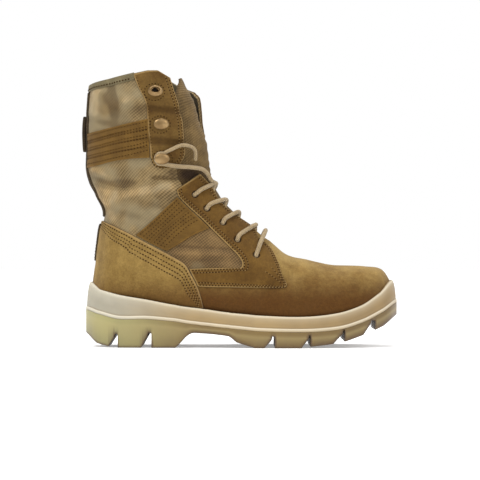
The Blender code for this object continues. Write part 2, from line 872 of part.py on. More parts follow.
def make_overlays():
    """Counter, quarters, eyestays, webbing, binding and backstay."""
    finish(overlay("counter", in_metres(COUNTER), OVERLAY, cutters=(below_rim,)), SUEDE, 0.9)
    for side, outer_side in (("lateral", True), ("medial", False)):
        outline = in_metres(QUARTER)
        quarter = overlay(f"quarter_{side}", outline, OVERLAY, outer_side, cutters=(throat_cutter,))
        for number, spot in enumerate(EYELETS, 1):
            combine(quarter, hole_cutter(spot, outer_side, number))
        finish(quarter, SUEDE, 0.9)
        outline = in_metres(EYESTAY)
        cutters = (collar_cutter, throat_cutter)
        eyestay = overlay(f"eyestay_{side}", outline, OVERLAY, outer_side, cutters=cutters)
        finish(eyestay, SUEDE, 0.9)
        band = overlay(
            f"shaft_band_{side}",
            in_metres(SHAFT_BAND),
            WEBBING,
            outer_side,
            cutters=(side_gap(BACKSTAY_WIDTH + 2 * SEAM_GAP),),
        )
        finish(band, NYLON_WEBBING, 0.85)
        strap = overlay(f"ankle_strap_{side}", in_metres(ANKLE_STRAP), WEBBING, outer_side)
        finish(strap, NYLON_WEBBING, 0.85)
    top = height(BINDING_FRONT.up)
    edge = in_metres(BINDING_EDGE)
    front = float(place(BINDING_FRONT.along)) - SEAM_GAP
    binding = edge + [(front, float(top)), (edge[0][0], float(top))]
    finish(overlay("collar_binding", binding, BINDING, cutters=(collar_cutter,)), (0.30, 0.24, 0.14), 0.9)
    make_backstay()


def middle_slab(outline, width):
    """A slab round the middle plane to keep a layer's middle part."""
    return prism("middle slab", outline, -width / 2, width / 2)


def make_backstay():
    """The strip down the back seam, the pull loop on it, and the tapered strip down the counter."""
    backstay = overlay("backstay", in_metres(BACKSTAY), WEBBING)
    outline = in_metres(BACKSTAY)
    combine(backstay, middle_slab(outline, BACKSTAY_WIDTH), "INTERSECT")
    finish(backstay, (0.16, 0.12, 0.07), 0.9)
    strip = overlay("heel_strip", in_metres(HEEL_STRIP), BINDING, under=OVERLAY + FIT)
    top = float(height(HEEL_STRIP[0].up))
    bottom = float(height(HEEL_STRIP[2].up))
    ahead = float(place(HEEL_STRIP[1].along))
    behind = float(place(HEEL_STRIP[0].along))
    loops = []
    for z, reach in ((bottom - MM, HEEL_STRIP_NARROW), (top + MM, HEEL_STRIP_WIDE)):
        loops.append([(behind, -reach, z), (ahead, -reach, z), (ahead, reach, z), (behind, reach, z)])
    combine(strip, loops_solid("taper", loops, whole_cap, whole_cap), "INTERSECT")
    finish(strip, (0.16, 0.12, 0.07), 0.9)
    make_pull_loop()


def back_line(z):
    """World x of the last's back at a height."""
    rows = smooth_rows(SECTIONS, np.linspace(len(FOOT_SECTIONS), LAST_SECTION, 80))
    order = np.argsort(rows[:, 3])
    return float(np.interp(z, rows[order, 3], rows[order, 2]))


def make_pull_loop():
    """A short strap that stands off the backstay between its two ends."""
    high = float(height(PULL_LOOP[0]))
    low = float(height(PULL_LOOP[1]))
    outer = []
    inner = []
    for share in np.linspace(0, 1, 11):
        z = low + (high - low) * share
        seat = back_line(z) - FIT - WEBBING - FIT
        stand = PULL_LOOP_STAND * sin(pi * share) ** 0.6
        inner.append((seat - stand, z))
        outer.append((seat - stand - BINDING, z))
    loop = prism("pull_loop", outer + inner[::-1], -PULL_LOOP_WIDTH / 2, PULL_LOOP_WIDTH / 2)
    return finish(loop, (0.16, 0.12, 0.07), 0.9)


def turned(name, profile, stretch, sides=8):
    """A round solid from a profile of radius and height, stretched along local X."""
    vertices = [(0.0, 0.0, profile[0][1])]
    for radius, rise in profile:
        for step in range(sides):
            angle = 2 * pi * step / sides
            vertices.append((radius * cos(angle) * stretch(rise), radius * sin(angle), rise))
    vertices.append((0.0, 0.0, profile[-1][1]))
    faces = []
    for row in range(len(profile) - 1):
        for step in range(sides):
            after = (step + 1) % sides
            low = 1 + row * sides
            high = low + sides
            faces.append((low + step, low + after, high + after, high + step))
    top = len(vertices) - 1
    ring_start = 1 + (len(profile) - 1) * sides
    for step in range(sides):
        after = (step + 1) % sides
        faces.append((0, 1 + after, 1 + step))
        faces.append((ring_start + step, ring_start + after, top))
    return new_object(name, vertices, faces)


def make_hooks():
    """Domed speed-lace hooks on the eyestays: a riveted plate, a neck and a dome over the lace."""
    long_share = HOOK_LENGTH / HOOK_WIDTH
    neck_top = HOOK_PLATE + HOOK_GAP
    profile = [
        (HOOK_NECK / 2 + 1.4 * MM, 0.0),
        (HOOK_NECK / 2 + 1.2 * MM, HOOK_PLATE),
        (HOOK_NECK / 2, HOOK_PLATE + 0.4 * MM),
        (HOOK_NECK / 2, neck_top),
        (HOOK_WIDTH / 2, neck_top + 0.5 * MM),
        (HOOK_WIDTH / 2 * 0.86, neck_top + HOOK_DOME * 0.6),
        (HOOK_WIDTH / 2 * 0.45, neck_top + HOOK_DOME),
    ]
    for side, outer_side in (("lateral", True), ("medial", False)):
        for number, spot in enumerate(HOOKS, 1):
            hook = turned(
                f"hook_{side}_{number}",
                profile,
                lambda rise: long_share if rise > neck_top else 1.0,
            )
            centre, normal = side_point(spot, outer_side, 2 * FIT + OVERLAY)
            hook.matrix_world = Matrix.Translation(centre) @ frame_on(normal)
            finish(hook, (0.30, 0.24, 0.17), 0.4, 0.9)


def frame_on(normal):
    """A turn whose Z is the normal and whose X lies level along the boot."""
    ahead = Vector((1.0, 0.0, 0.0))
    ahead = (ahead - normal * ahead.dot(normal)).normalized()
    across = normal.cross(ahead)
    return Matrix((ahead, across, normal)).transposed().to_4x4()


def tube(name, points, diameter, sides=6):
    """A capped tube through points."""
    points = [Vector(point) for point in points]
    loops = []
    side = None
    for index, point in enumerate(points):
        ahead = points[min(index + 1, len(points) - 1)] - points[max(index - 1, 0)]
        ahead.normalize()
        if side is None:
            side = ahead.orthogonal().normalized()
        side = (side - ahead * side.dot(ahead)).normalized()
        other = ahead.cross(side)
        loop = []
        for step in range(sides):
            angle = 2 * pi * step / sides
            loop.append(point + (side * cos(angle) + other * sin(angle)) * diameter / 2)
        loops.append(loop)
    return loops_solid(name, loops, whole_cap, whole_cap)


def smooth_path(points, count):
    """Evenly numbered points on a smooth curve through a few."""
    table = np.array([tuple(point) for point in points])
    return smooth_rows(table, np.linspace(0, len(table) - 1, count))


BAR_RISE = 0.35
TOP_STRAND = (
    (Point(0.367, 1.108), 0.75),
    (Point(0.334, 1.122), 1.0),
    (Point(0.302, 1.127), 1.05),
    (Point(0.276, 1.135), 1.12),
)
FREE_END = (
    (Point(0.268, 1.262), 1.22),
    (Point(0.302, 1.305), 1.20),
    (Point(0.330, 1.295), 1.15),
    (Point(0.345, 1.262), 0.85),
    (Point(0.348, 1.190), 0.60),
)
LACE_COLOUR = (0.50, 0.42, 0.30)
LACE_OVER = FIT + OVERLAY + LACE / 2 + 1.15 * MM
LACE_MIDDLE = 0.8 * MM
LACE_END = 0.6 * MM


def strand(stations):
    """A strand of lace through places over the last: section, sideways place and lift of each."""
    return smooth_path([surface(*station)[0] for station in stations], 9)


def eyelet_place(index, outer_side):
    """Section and sideways place of an eyelet."""
    point, _ = side_point(EYELETS[index], outer_side)
    return section_at(point.x, point.z)[0], point.y


def throat_edge(section, outer_side):
    """Sideways place of the throat's edge at a section."""
    table = np.array(THROAT)
    column = 1 if outer_side else 2
    reach = float(np.interp(section, table[:, 0], table[:, column])) * SHAFT_WIDTH
    middle = float(smooth_rows(SECTIONS, [section])[0][4])
    return middle - reach if outer_side else middle + reach


def crossing_strand(index, outer_side):
    """From over an eyelet, across the middle, to just inside the far edge of the throat at the next row."""
    section, y = eyelet_place(index, outer_side)
    end_section = eyelet_place(index + 1, not outer_side)[0] + 0.15
    edge = throat_edge(section, outer_side)
    far_edge = throat_edge(end_section, not outer_side)
    share = (edge - y) / (far_edge - y)
    middle_section = (section + end_section) / 2
    middle = float(smooth_rows(SECTIONS, [middle_section])[0][4])
    margin = LACE / 2 + STRAND_MARGIN
    far_end = far_edge - margin if outer_side else far_edge + margin
    return strand((
        (section, y, LACE_OVER),
        (section + (end_section - section) * share, edge, LACE_OVER),
        (middle_section, middle, LACE_MIDDLE),
        (end_section, far_end, LACE_END),
    ))


def make_crossing(index):
    """Two strands that cross between one row of eyelets and the next, joined where they meet."""
    crossing = tube(f"lace_crossing_{index + 1}", crossing_strand(index, True), LACE)
    combine(crossing, tube("other strand", crossing_strand(index, False), LACE), "UNION")
    return finish(crossing, LACE_COLOUR, 0.9)


def make_bottom_bar():
    """The lace's first bar, over the lowest eyelets and a little up the throat in the middle."""
    section, start = eyelet_place(4, True)
    end = eyelet_place(4, False)[1]
    stations = []
    for share in (0.0, 0.25, 0.5, 0.75, 1.0):
        rise = BAR_RISE * sin(pi * share)
        stations.append((section + rise, start + (end - start) * share, LACE_OVER))
    return finish(tube("lace_bar", strand(stations), LACE), LACE_COLOUR, 0.9)


def top_strand(outer_side):
    """From inside the far edge of the throat, over the middle, round the neck of the third hook."""
    section = eyelet_place(0, outer_side)[0] + 0.35
    far_edge = throat_edge(section, not outer_side)
    margin = LACE / 2 + STRAND_MARGIN
    far = far_edge - margin if outer_side else far_edge + margin
    middle = float(smooth_rows(SECTIONS, [section + 0.4])[0][4])
    points = [surface(section, far, LACE_END)[0], surface(section + 0.4, middle, LACE_MIDDLE)[0]]
    for spot, lift in TOP_STRAND:
        points.append(side_point(spot, outer_side, LACE_OVER * lift)[0])
    points += hook_turn(outer_side)
    return smooth_path(points, 17)


def hook_turn(outer_side):
    """Points round the back of the third hook's neck, from under it to over it."""
    plate = 2 * FIT + OVERLAY
    centre, normal = side_point(HOOKS[2], outer_side, plate + HOOK_PLATE + HOOK_GAP / 2)
    frame = frame_on(normal).to_3x3()
    ahead = frame.col[0]
    upward = frame.col[1] if outer_side else -frame.col[1]
    reach = HOOK_NECK / 2 + LACE / 2 + 2 * FIT
    points = []
    for degrees in (-70, -125, 180, 125, 70):
        angle = radians(degrees)
        points.append(centre + ahead * cos(angle) * reach + upward * sin(angle) * reach)
    return points


def make_top_crossing():
    """The lace's last crossing, from the throat to the third hook of each side."""
    crossing = tube("lace_top", top_strand(True), LACE)
    combine(crossing, tube("other strand", top_strand(False), LACE), "UNION")
    return finish(crossing, LACE_COLOUR, 0.9)


def make_free_end():
    """The lace's free end, from the outer third hook over the eyestay and down beside the tongue."""
    start = hook_turn(True)[-1]
    ahead = side_point(FREE_END[0][0], True, LACE_OVER * FREE_END[0][1])[0] - start
    points = [start + ahead.normalized() * 3 * FIT]
    for spot, lift in FREE_END:
        points.append(side_point(spot, True, LACE_OVER * lift)[0])
    path = smooth_path(points, 11)
    curve = bpy.data.curves.new("lace_end", "CURVE")
    curve.dimensions = "3D"
    curve.bevel_depth = LACE / 2
    curve.bevel_resolution = 2
    curve.use_fill_caps = True
    spline = curve.splines.new("POLY")
    spline.points.add(len(path) - 1)
    for point, place_on_path in zip(spline.points, path):
        point.co = (*place_on_path, 1.0)
    lace = bpy.data.objects.new("lace_end", curve)
    bpy.context.scene.collection.objects.link(lace)
    lace.data.materials.append(bpy.data.materials["lace_top"])
    return lace


def main():
    """Build the boot in an emptied scene."""
    for obj in list(bpy.data.objects):
        bpy.data.objects.remove(obj)
    make_outsole()
    make_band()
    make_upper()
    make_insole()
    make_tongue()
    make_overlays()
    make_hooks()
    for index in range(4):
        make_crossing(index)
    make_bottom_bar()
    make_top_crossing()
    make_free_end()


main()
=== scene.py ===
"""Looks of a lace-up boot for the right foot: suede and nylon upper, round laces, lugged sole.

Every new piece is a surface over the boot's last, worked out from the same sections as the
solids, and rides on the row's one body.
"""

import logging
from collections.abc import Callable
from dataclasses import dataclass, field
from enum import Enum
from math import pi, radians

import bmesh
import bpy
import numpy as np
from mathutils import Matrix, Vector


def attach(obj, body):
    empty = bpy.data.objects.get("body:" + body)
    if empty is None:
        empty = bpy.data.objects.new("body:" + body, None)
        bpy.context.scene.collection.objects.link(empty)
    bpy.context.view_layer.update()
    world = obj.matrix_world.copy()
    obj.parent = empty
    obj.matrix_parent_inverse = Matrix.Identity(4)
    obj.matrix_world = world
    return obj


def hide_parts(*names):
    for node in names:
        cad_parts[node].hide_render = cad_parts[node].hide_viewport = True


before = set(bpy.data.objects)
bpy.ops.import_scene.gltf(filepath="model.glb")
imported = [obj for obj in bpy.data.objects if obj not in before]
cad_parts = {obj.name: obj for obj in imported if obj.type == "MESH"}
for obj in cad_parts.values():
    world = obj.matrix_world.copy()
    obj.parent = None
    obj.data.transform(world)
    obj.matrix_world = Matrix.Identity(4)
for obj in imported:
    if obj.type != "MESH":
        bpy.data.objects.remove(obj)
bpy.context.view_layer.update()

LOG = logging.getLogger("boot")
MM = 0.001
TINY = 1e-15
Array = np.ndarray
Station = tuple[float, float]
Colour = tuple[float, float, float]
Spot = tuple[float, float, float]
Socket = bpy.types.NodeSocket
Swell = Callable[[Array, Array, Array], Array]

# Named sizes, the same as the solids'
SOLE_LENGTH = 311 * MM
SOLE_WIDTH = 112 * MM
HEEL_BACK = 45 * MM
BALL_WIDTH = 104 * MM
INSTEP_HEIGHT = 164 * MM
SHAFT_HEIGHT = 116 * MM
SHAFT_WIDTH = 80 * MM
HEEL_SEAT = 46 * MM
FIT = 0.3 * MM
WALL = 2.2 * MM
OVERLAY = 1.5 * MM
WEBBING = 1.7 * MM
LACE = 3.6 * MM
HOOK_NECK = 6.0 * MM
HOOK_GAP = 4.2 * MM
HOOK_PLATE = 1.1 * MM


class Side(Enum):
    """The outer side faces the camera, the inner side lies behind."""

    OUTER = -1
    INNER = 1

    @property
    def label(self) -> str:
        """The side's word in the solids' names."""
        return "lateral" if self is Side.OUTER else "medial"

    @property
    def other(self) -> "Side":
        """The side across the boot."""
        return Side.INNER if self is Side.OUTER else Side.OUTER


def height(up: Array) -> Array:
    """Height over the floor of an up share: the instep's height, then the shaft's."""
    up = np.asarray(up, float)
    return np.minimum(up, 1.0) * INSTEP_HEIGHT + np.maximum(up - 1.0, 0.0) * SHAFT_HEIGHT


def smooth_rows(table: Array, positions: Array) -> Array:
    """Rows of a table at fractional positions, on a curve through every row.

    Args:
        table: One row for each station.
        positions: Fractional row numbers of any shape.
    Returns:
        The positions' shape with one more axis for the row's values.
    """
    table = np.asarray(table, float)
    shape = np.shape(positions)
    flat = np.clip(np.asarray(positions, float).ravel(), 0.0, len(table) - 1.0)
    start = np.minimum(flat.astype(int), len(table) - 2)
    share = (flat - start)[:, None]
    before = table[np.maximum(start - 1, 0)]
    here = table[start]
    after = table[start + 1]
    beyond = table[np.minimum(start + 2, len(table) - 1)]
    rise = (after - before) / 2
    fall = (beyond - here) / 2
    square = share * share
    cube = square * share
    rows = (2 * cube - 3 * square + 1) * here + (cube - 2 * square + share) * rise
    rows = rows + (3 * square - 2 * cube) * after + (cube - square) * fall
    return rows.reshape(*shape, table.shape[1])


def unit(vectors: Array) -> Array:
    """Vectors of length one along the last axis."""
    return vectors / np.maximum(np.linalg.norm(vectors, axis=-1, keepdims=True), 1e-12)


def lengths_along(points: Array) -> Array:
    """Running length of a line of points, from 0."""
    steps = np.linalg.norm(np.diff(points, axis=0), axis=-1)
    return np.concatenate([[0.0], np.cumsum(steps)])


def bell(value: Array, width: float) -> Array:
    """1 where the value is 0, falling with the square of value over width."""
    return np.exp(-((value / width) ** 2))


def ramp(value: Array, start: float, span: float) -> Array:
    """0 up to a start, and evenly up to 1 over a span."""
    return np.clip((value - start) / span, 0, 1)


class Last:
    """The form that the upper is pulled over, as sections from the toe over the heel to the collar.

    A section lies in a plane across the boot, from a back or under point to a front or top point.
    A place on it is (at, turn): at counts the sections, and turn goes round from 0 at the back or
    under point to pi at the front, with a minus sign on the outer side.

    FOOT, SHAFT: A row for each section. Front point along and up, back point along and up, sideways
        middle, outer and inner half-width, the belly's share of the rise, and the powers of the
        curves under and over the belly. Along, up and width are shares of the named sizes, and the
        shaft's back height is a share of what lies over the heel seat.
    THROAT: Section number, and the opening's outer and inner half-width in shaft widths.
    COLLAR: Along and up shares of the collar's edge.
    """

    SEARCH_STEPS = 382
    SLOPE_STEP = 0.04
    SLOPE_SWING = 0.02
    OVER_HEEL = 7.0
    UNDER_COLLAR = 14.0
    THROAT_START = 0.12

    FOOT = (
        (0.985, 0.370, 0.985, 1.09, 0.058, 0.075, 0.075, 0.45, 2.2, 2.2),
        (0.952, 0.465, 0.952, 0.93, 0.053, 0.290, 0.275, 0.33, 2.7, 2.3),
        (0.895, 0.487, 0.895, 0.72, 0.045, 0.435, 0.400, 0.30, 3.1, 2.4),
        (0.800, 0.495, 0.800, 0.55, 0.033, 0.512, 0.460, 0.30, 3.4, 2.3),
        (0.705, 0.527, 0.705, 0.48, 0.024, 0.525, 0.480, 0.28, 3.5, 2.15),
        (0.645, 0.557, 0.645, 0.48, 0.020, 0.520, 0.478, 0.26, 3.5, 2.0),
        (0.601, 0.625, 0.590, 0.49, 0.020, 0.508, 0.455, 0.24, 3.5, 1.9),
        (0.531, 0.750, 0.473, 0.57, 0.020, 0.470, 0.395, 0.22, 3.5, 1.8),
        (0.460, 0.866, 0.334, 0.71, 0.015, 0.425, 0.358, 0.20, 3.4, 1.8),
        (0.413, 1.000, 0.160, 0.87, 0.010, 0.378, 0.343, 0.21, 3.0, 1.8),
        (0.410, 1.069, 0.045, 0.96, 0.005, 0.360, 0.343, 0.27, 2.3, 1.8),
    )
    SHAFT = (
        (0.406, 1.138, 0.027, 0.047, 0.0, 0.455, 0.445, 0.31, 2.05, 1.85),
        (0.402, 1.233, 0.036, 0.162, 0.0, 0.445, 0.445, 0.37, 2.0, 1.85),
        (0.396, 1.366, 0.048, 0.295, 0.0, 0.452, 0.452, 0.43, 2.0, 1.9),
        (0.388, 1.457, 0.061, 0.372, 0.0, 0.462, 0.462, 0.46, 2.0, 1.9),
        (0.381, 1.530, 0.038, 0.453, 0.0, 0.478, 0.478, 0.47, 2.05, 1.95),
        (0.377, 1.629, 0.009, 0.534, 0.0, 0.492, 0.492, 0.48, 2.1, 2.0),
        (0.370, 1.733, 0.007, 0.684, 0.0, 0.500, 0.500, 0.48, 2.1, 2.0),
        (0.351, 1.853, 0.008, 0.820, 0.0, 0.500, 0.500, 0.48, 2.1, 2.0),
        (0.325, 2.017, 0.017, 0.974, 0.0, 0.500, 0.500, 0.48, 2.1, 2.0),
    )
    THROAT = (
        (6.15, 0.06, 0.06),
        (6.45, 0.14, 0.14),
        (8.0, 0.16, 0.16),
        (10.4, 0.19, 0.17),
        (11.6, 0.33, 0.17),
        (13.0, 0.39, 0.16),
        (19.0, 0.40, 0.13),
    )
    COLLAR = (
        (-0.05, 1.78),
        (0.013, 1.825),
        (0.203, 1.940),
        (0.235, 1.942),
        (0.265, 1.893),
        (0.300, 1.835),
        (0.345, 1.780),
        (0.375, 1.690),
        (0.450, 1.520),
    )

    def __init__(self) -> None:
        """Turn the tables of shares into metres."""
        foot = np.array(self.FOOT)
        shaft = np.array(self.SHAFT)
        top = INSTEP_HEIGHT + SHAFT_HEIGHT
        back = np.concatenate([foot[:, 3] * HEEL_SEAT, HEEL_SEAT + shaft[:, 3] * (top - HEEL_SEAT)])
        width = np.concatenate([np.full(len(foot), BALL_WIDTH), np.full(len(shaft), SHAFT_WIDTH)])
        both = np.concatenate([foot, shaft])
        self.table = both.copy()
        self.table[:, 0] = both[:, 0] * SOLE_LENGTH - HEEL_BACK
        self.table[:, 1] = height(both[:, 1])
        self.table[:, 2] = both[:, 2] * SOLE_LENGTH - HEEL_BACK
        self.table[:, 3] = back
        self.table[:, 4:7] = both[:, 4:7] * width[:, None]
        self.end = len(both) - 1.0
        self.throat = np.array(self.THROAT)
        collar = np.array(self.COLLAR)
        self.collar_x = collar[:, 0] * SOLE_LENGTH - HEEL_BACK
        self.collar_z = height(collar[:, 1])

    def rows(self, at: Array) -> Array:
        """Section values at fractional section numbers."""
        return smooth_rows(self.table, at)

    def point(self, at: Array, turn: Array) -> Array:
        """Places on the last.

        Each half of a section is two quarters of a superellipse that meet at the widest place,
        the belly: width is a power of the turn's cosine, and rise one of its sine.

        Args:
            at: Section numbers.
            turn: Signed turns round the section.
        Returns:
            Points, with one more axis of three.
        """
        at, turn = np.broadcast_arrays(np.asarray(at, float), np.asarray(turn, float))
        turn = (turn + pi) % (2 * pi) - pi
        row = self.rows(at)
        lean = np.abs(turn) - pi / 2
        belly = row[..., 7]
        low = np.abs(np.sin(np.minimum(lean, 0))) ** (2 / row[..., 8])
        high = np.abs(np.sin(np.maximum(lean, 0))) ** (2 / row[..., 9])
        rise = np.where(lean < 0, belly * (1 - low), belly + (1 - belly) * high)
        power = np.where(lean < 0, 2 / row[..., 8], 2 / row[..., 9])
        width = np.abs(np.cos(lean)) ** power * np.where(turn < 0, row[..., 5], row[..., 6])
        x = row[..., 2] + (row[..., 0] - row[..., 2]) * rise
        z = row[..., 3] + (row[..., 1] - row[..., 3]) * rise
        y = row[..., 4] + np.where(turn < 0, -width, width)
        return np.stack([x, y, z], axis=-1)

    def normal(self, at: Array, turn: Array) -> Array:
        """Outward directions: the cross product of the slopes along and round the last.

        Args:
            at: Section numbers.
            turn: Signed turns.
        Returns:
            Vectors of length one.
        """
        ahead = np.minimum(np.asarray(at, float) + self.SLOPE_STEP, self.end)
        behind = np.maximum(np.asarray(at, float) - self.SLOPE_STEP, 0.0)
        along = self.point(ahead, turn) - self.point(behind, turn)
        turn = np.asarray(turn)
        around = self.point(at, turn + self.SLOPE_SWING) - self.point(at, turn - self.SLOPE_SWING)
        return unit(np.cross(along, around))

    def locate(self, x: Array, z: Array) -> tuple[Array, Array]:
        """Section number and unsigned turn of places in the side view.

        The section is the first whose line, from its back to its front point, passes the place.

        Args:
            x: Places along the boot, in metres.
            z: Heights, in metres.
        Returns:
            Section numbers and turns.
        """
        x, z = np.broadcast_arrays(np.asarray(x, float), np.asarray(z, float))
        shape = x.shape
        x = x.ravel()
        z = z.ravel()
        coarse = np.linspace(0, self.end, self.SEARCH_STEPS)

        def past(at: Array, px: Array, pz: Array) -> Array:
            """How far places lie past sections' lines.

            Args:
                at: Section numbers.
                px: Places along the boot.
                pz: Their heights.
            Returns:
                Signed distances.
            """
            row = self.rows(at)
            run = row[..., 0] - row[..., 2]
            climb = row[..., 1] - row[..., 3]
            return ((px - row[..., 2]) * climb - (pz - row[..., 3]) * run) / np.hypot(run, climb)

        table = past(coarse[None, :], x[:, None], z[:, None])
        crossing = np.maximum(np.argmax(table > 0, axis=1), 1)
        low = coarse[crossing - 1]
        high = coarse[crossing]
        for _ in range(3):
            at_low = past(low, x, z)
            at_high = past(high, x, z)
            middle = low + (high - low) * np.clip(at_low / (at_low - at_high + TINY), 0, 1)
            beyond = past(middle, x, z) > 0
            high = np.where(beyond, middle, high)
            low = np.where(beyond, low, middle)
        at = middle
        row = self.rows(at)
        across = np.stack([row[:, 0] - row[:, 2], row[:, 1] - row[:, 3]], axis=1)
        offset = np.stack([x - row[:, 2], z - row[:, 3]], axis=1)
        rise = np.clip((offset * across).sum(1) / (across**2).sum(1), 0.0, 1.0)
        belly = row[:, 7]
        low_share = np.clip(1 - rise / belly, 0, 1)
        high_share = np.clip((rise - belly) / (1 - belly), 0, 1)
        under = -np.arcsin(low_share ** (row[:, 8] / 2))
        over = np.arcsin(high_share ** (row[:, 9] / 2))
        lean = np.where(rise < belly, under, over)
        return at.reshape(shape), (lean + pi / 2).reshape(shape)

    def spots(self, places: Array, side: Side) -> Array:
        """Stations of places in the side view.

        Args:
            places: Places along and up, in millimetres.
            side: The side that they are on.
        Returns:
            Rows of (at, turn).
        """
        places = np.asarray(places, float) * MM
        at, turn = self.locate(places[:, 0], places[:, 1])
        return np.stack([at, turn * side.value], axis=-1)

    def side_line(self, places: Array, side: Side, per: int = 14) -> Array:
        """Close stations on a smooth line through places in the side view.

        Args:
            places: Places along and up, in millimetres.
            side: The side that they are on.
            per: How many stations from one place to the next.
        Returns:
            Rows of (at, turn).
        """
        places = np.asarray(places, float)
        steps = np.linspace(0, len(places) - 1, per * (len(places) - 1) + 1)
        return self.spots(smooth_rows(places, steps), side)

    def round_back(self, start: Array, z_back: float, per: int = 30) -> Array:
        """Close stations from a station round to the back line, where it lies level at a height.

        Args:
            start: The first station.
            z_back: Height on the back line, in millimetres.
            per: How many stations.
        Returns:
            Stations after the first, the last on the back line.
        """
        z_start = float(self.point(start[0], start[1])[2])
        share = np.linspace(0, 1, per + 1)[1:]
        turn = start[1] * (1 - share)
        z = z_back * MM + (z_start - z_back * MM) * (1 - share) ** 2
        return np.stack([self.at_height(turn, z), turn], axis=1)

    def at_height(self, turn: Array, z: Array) -> Array:
        """Where the lines at some turns reach a height, above the heel.

        Args:
            turn: Signed turns.
            z: Heights in metres.
        Returns:
            Section numbers.
        """
        at = np.linspace(self.OVER_HEEL, self.end, 360)
        rise = self.point(at[None, :], np.asarray(turn).reshape(-1, 1))[..., 2]
        return self.first_crossing(at, rise - np.asarray(z).reshape(-1, 1))

    def first_crossing(self, at: Array, over: Array) -> Array:
        """Where each row of values first turns positive, even between the grid's numbers.

        Args:
            at: The grid's section numbers.
            over: A row of values over the grid for each line.
        Returns:
            Section numbers.
        """
        first = np.maximum(np.argmax(over > 0, axis=1), 1)
        picks = np.arange(len(first))
        below = over[picks, first - 1]
        above = over[picks, first]
        share = np.clip(below / (below - above + TINY), 0, 1)
        return at[first - 1] + (at[first] - at[first - 1]) * share

    def turn_at(self, at: Array, y: Array, in_front: bool) -> Array:
        """Signed turns of sideways places, the curve of point the other way round.

        Args:
            at: Section numbers.
            y: Sideways places in metres.
            in_front: Over the section's front, not its back.
        Returns:
            Turns.
        """
        row = self.rows(at)
        reach = np.where(y < row[..., 4], row[..., 5], row[..., 6])
        share = np.clip(np.abs(y - row[..., 4]) / reach, 0.0, 1.0)
        power = row[..., 9] if in_front else row[..., 8]
        lean = np.arccos(share ** (power / 2))
        lean = lean if in_front else -lean
        return np.where(y < row[..., 4], -1, 1) * (lean + pi / 2)

    def back_at(self, z: Array) -> Array:
        """Section number whose back point lies at a height."""
        at = np.linspace(9.0, self.end, 400)
        return np.interp(z, self.rows(at)[:, 3], at)

    def throat_half(self, at: Array, side: Side) -> Array:
        """Half-width of the throat on one side, with a round lower end.

        Args:
            at: Section numbers.
            side: The side of the throat.
        Returns:
            Half-widths in metres, 0 below the throat.
        """
        column = 1 if side is Side.OUTER else 2
        half = np.interp(at, self.throat[:, 0], self.throat[:, column]) * SHAFT_WIDTH
        return half * np.sqrt(ramp(np.asarray(at), self.throat[0, 0], self.THROAT_START))

    def throat_turn(self, at: Array, side: Side) -> Array:
        """Signed turns of the throat's edge.

        Args:
            at: Section numbers.
            side: The side of the throat.
        Returns:
            Turns, half a turn below the throat.
        """
        half = self.throat_half(at, side)
        turn = self.turn_at(at, self.rows(at)[..., 4] + side.value * np.maximum(half, 1e-6), True)
        return np.where(half > 0, turn, side.value * pi)

    def collar_at(self, turn: Array) -> Array:
        """Where the lines at some turns meet the collar's edge.

        Args:
            turn: Signed turns.
        Returns:
            Section numbers.
        """
        at = np.linspace(self.UNDER_COLLAR, self.end, 240)
        points = self.point(at[None, :], np.asarray(turn).reshape(-1, 1))
        over = points[..., 2] - np.interp(points[..., 0], self.collar_x, self.collar_z)
        return self.first_crossing(at, over).reshape(np.shape(turn))

    def throat_stations(self, heights: Array, side: Side, to_top: bool = False) -> Array:
        """Stations on the throat's edge.

        Args:
            heights: Heights in millimetres, from the highest down.
            side: The side of the throat.
            to_top: Stretch the heights to start where the edge meets the collar.
        Returns:
            Stations.
        """
        at = np.linspace(6.2, 18.9, 700)
        turn = self.throat_turn(at, side)
        places = self.point(at, turn)
        rise = places[:, 2]
        heights = np.asarray(heights, float)
        if to_top:
            under = rise < np.interp(places[:, 0], self.collar_x, self.collar_z)
            top = rise[under].max() / MM - 0.4
            heights = heights[-1] + (heights - heights[-1]) * (top - heights[-1]) / (heights[0] - heights[-1])
        found = np.interp(np.asarray(heights, float) * MM, rise, at)
        return np.stack([found, self.throat_turn(found, side) * 0.998], axis=1)


@dataclass(frozen=True)
class Crease:
    """A soft trough or ridge along a line in the side view, in millimetres.

    start, end: The line's ends.
    width: How far from the line it fades.
    depth: Its height, below 0 for a trough.
    side: The only side that has it, or None.
    """

    start: tuple[float, float]
    end: tuple[float, float]
    width: float
    depth: float
    side: Side | None = None


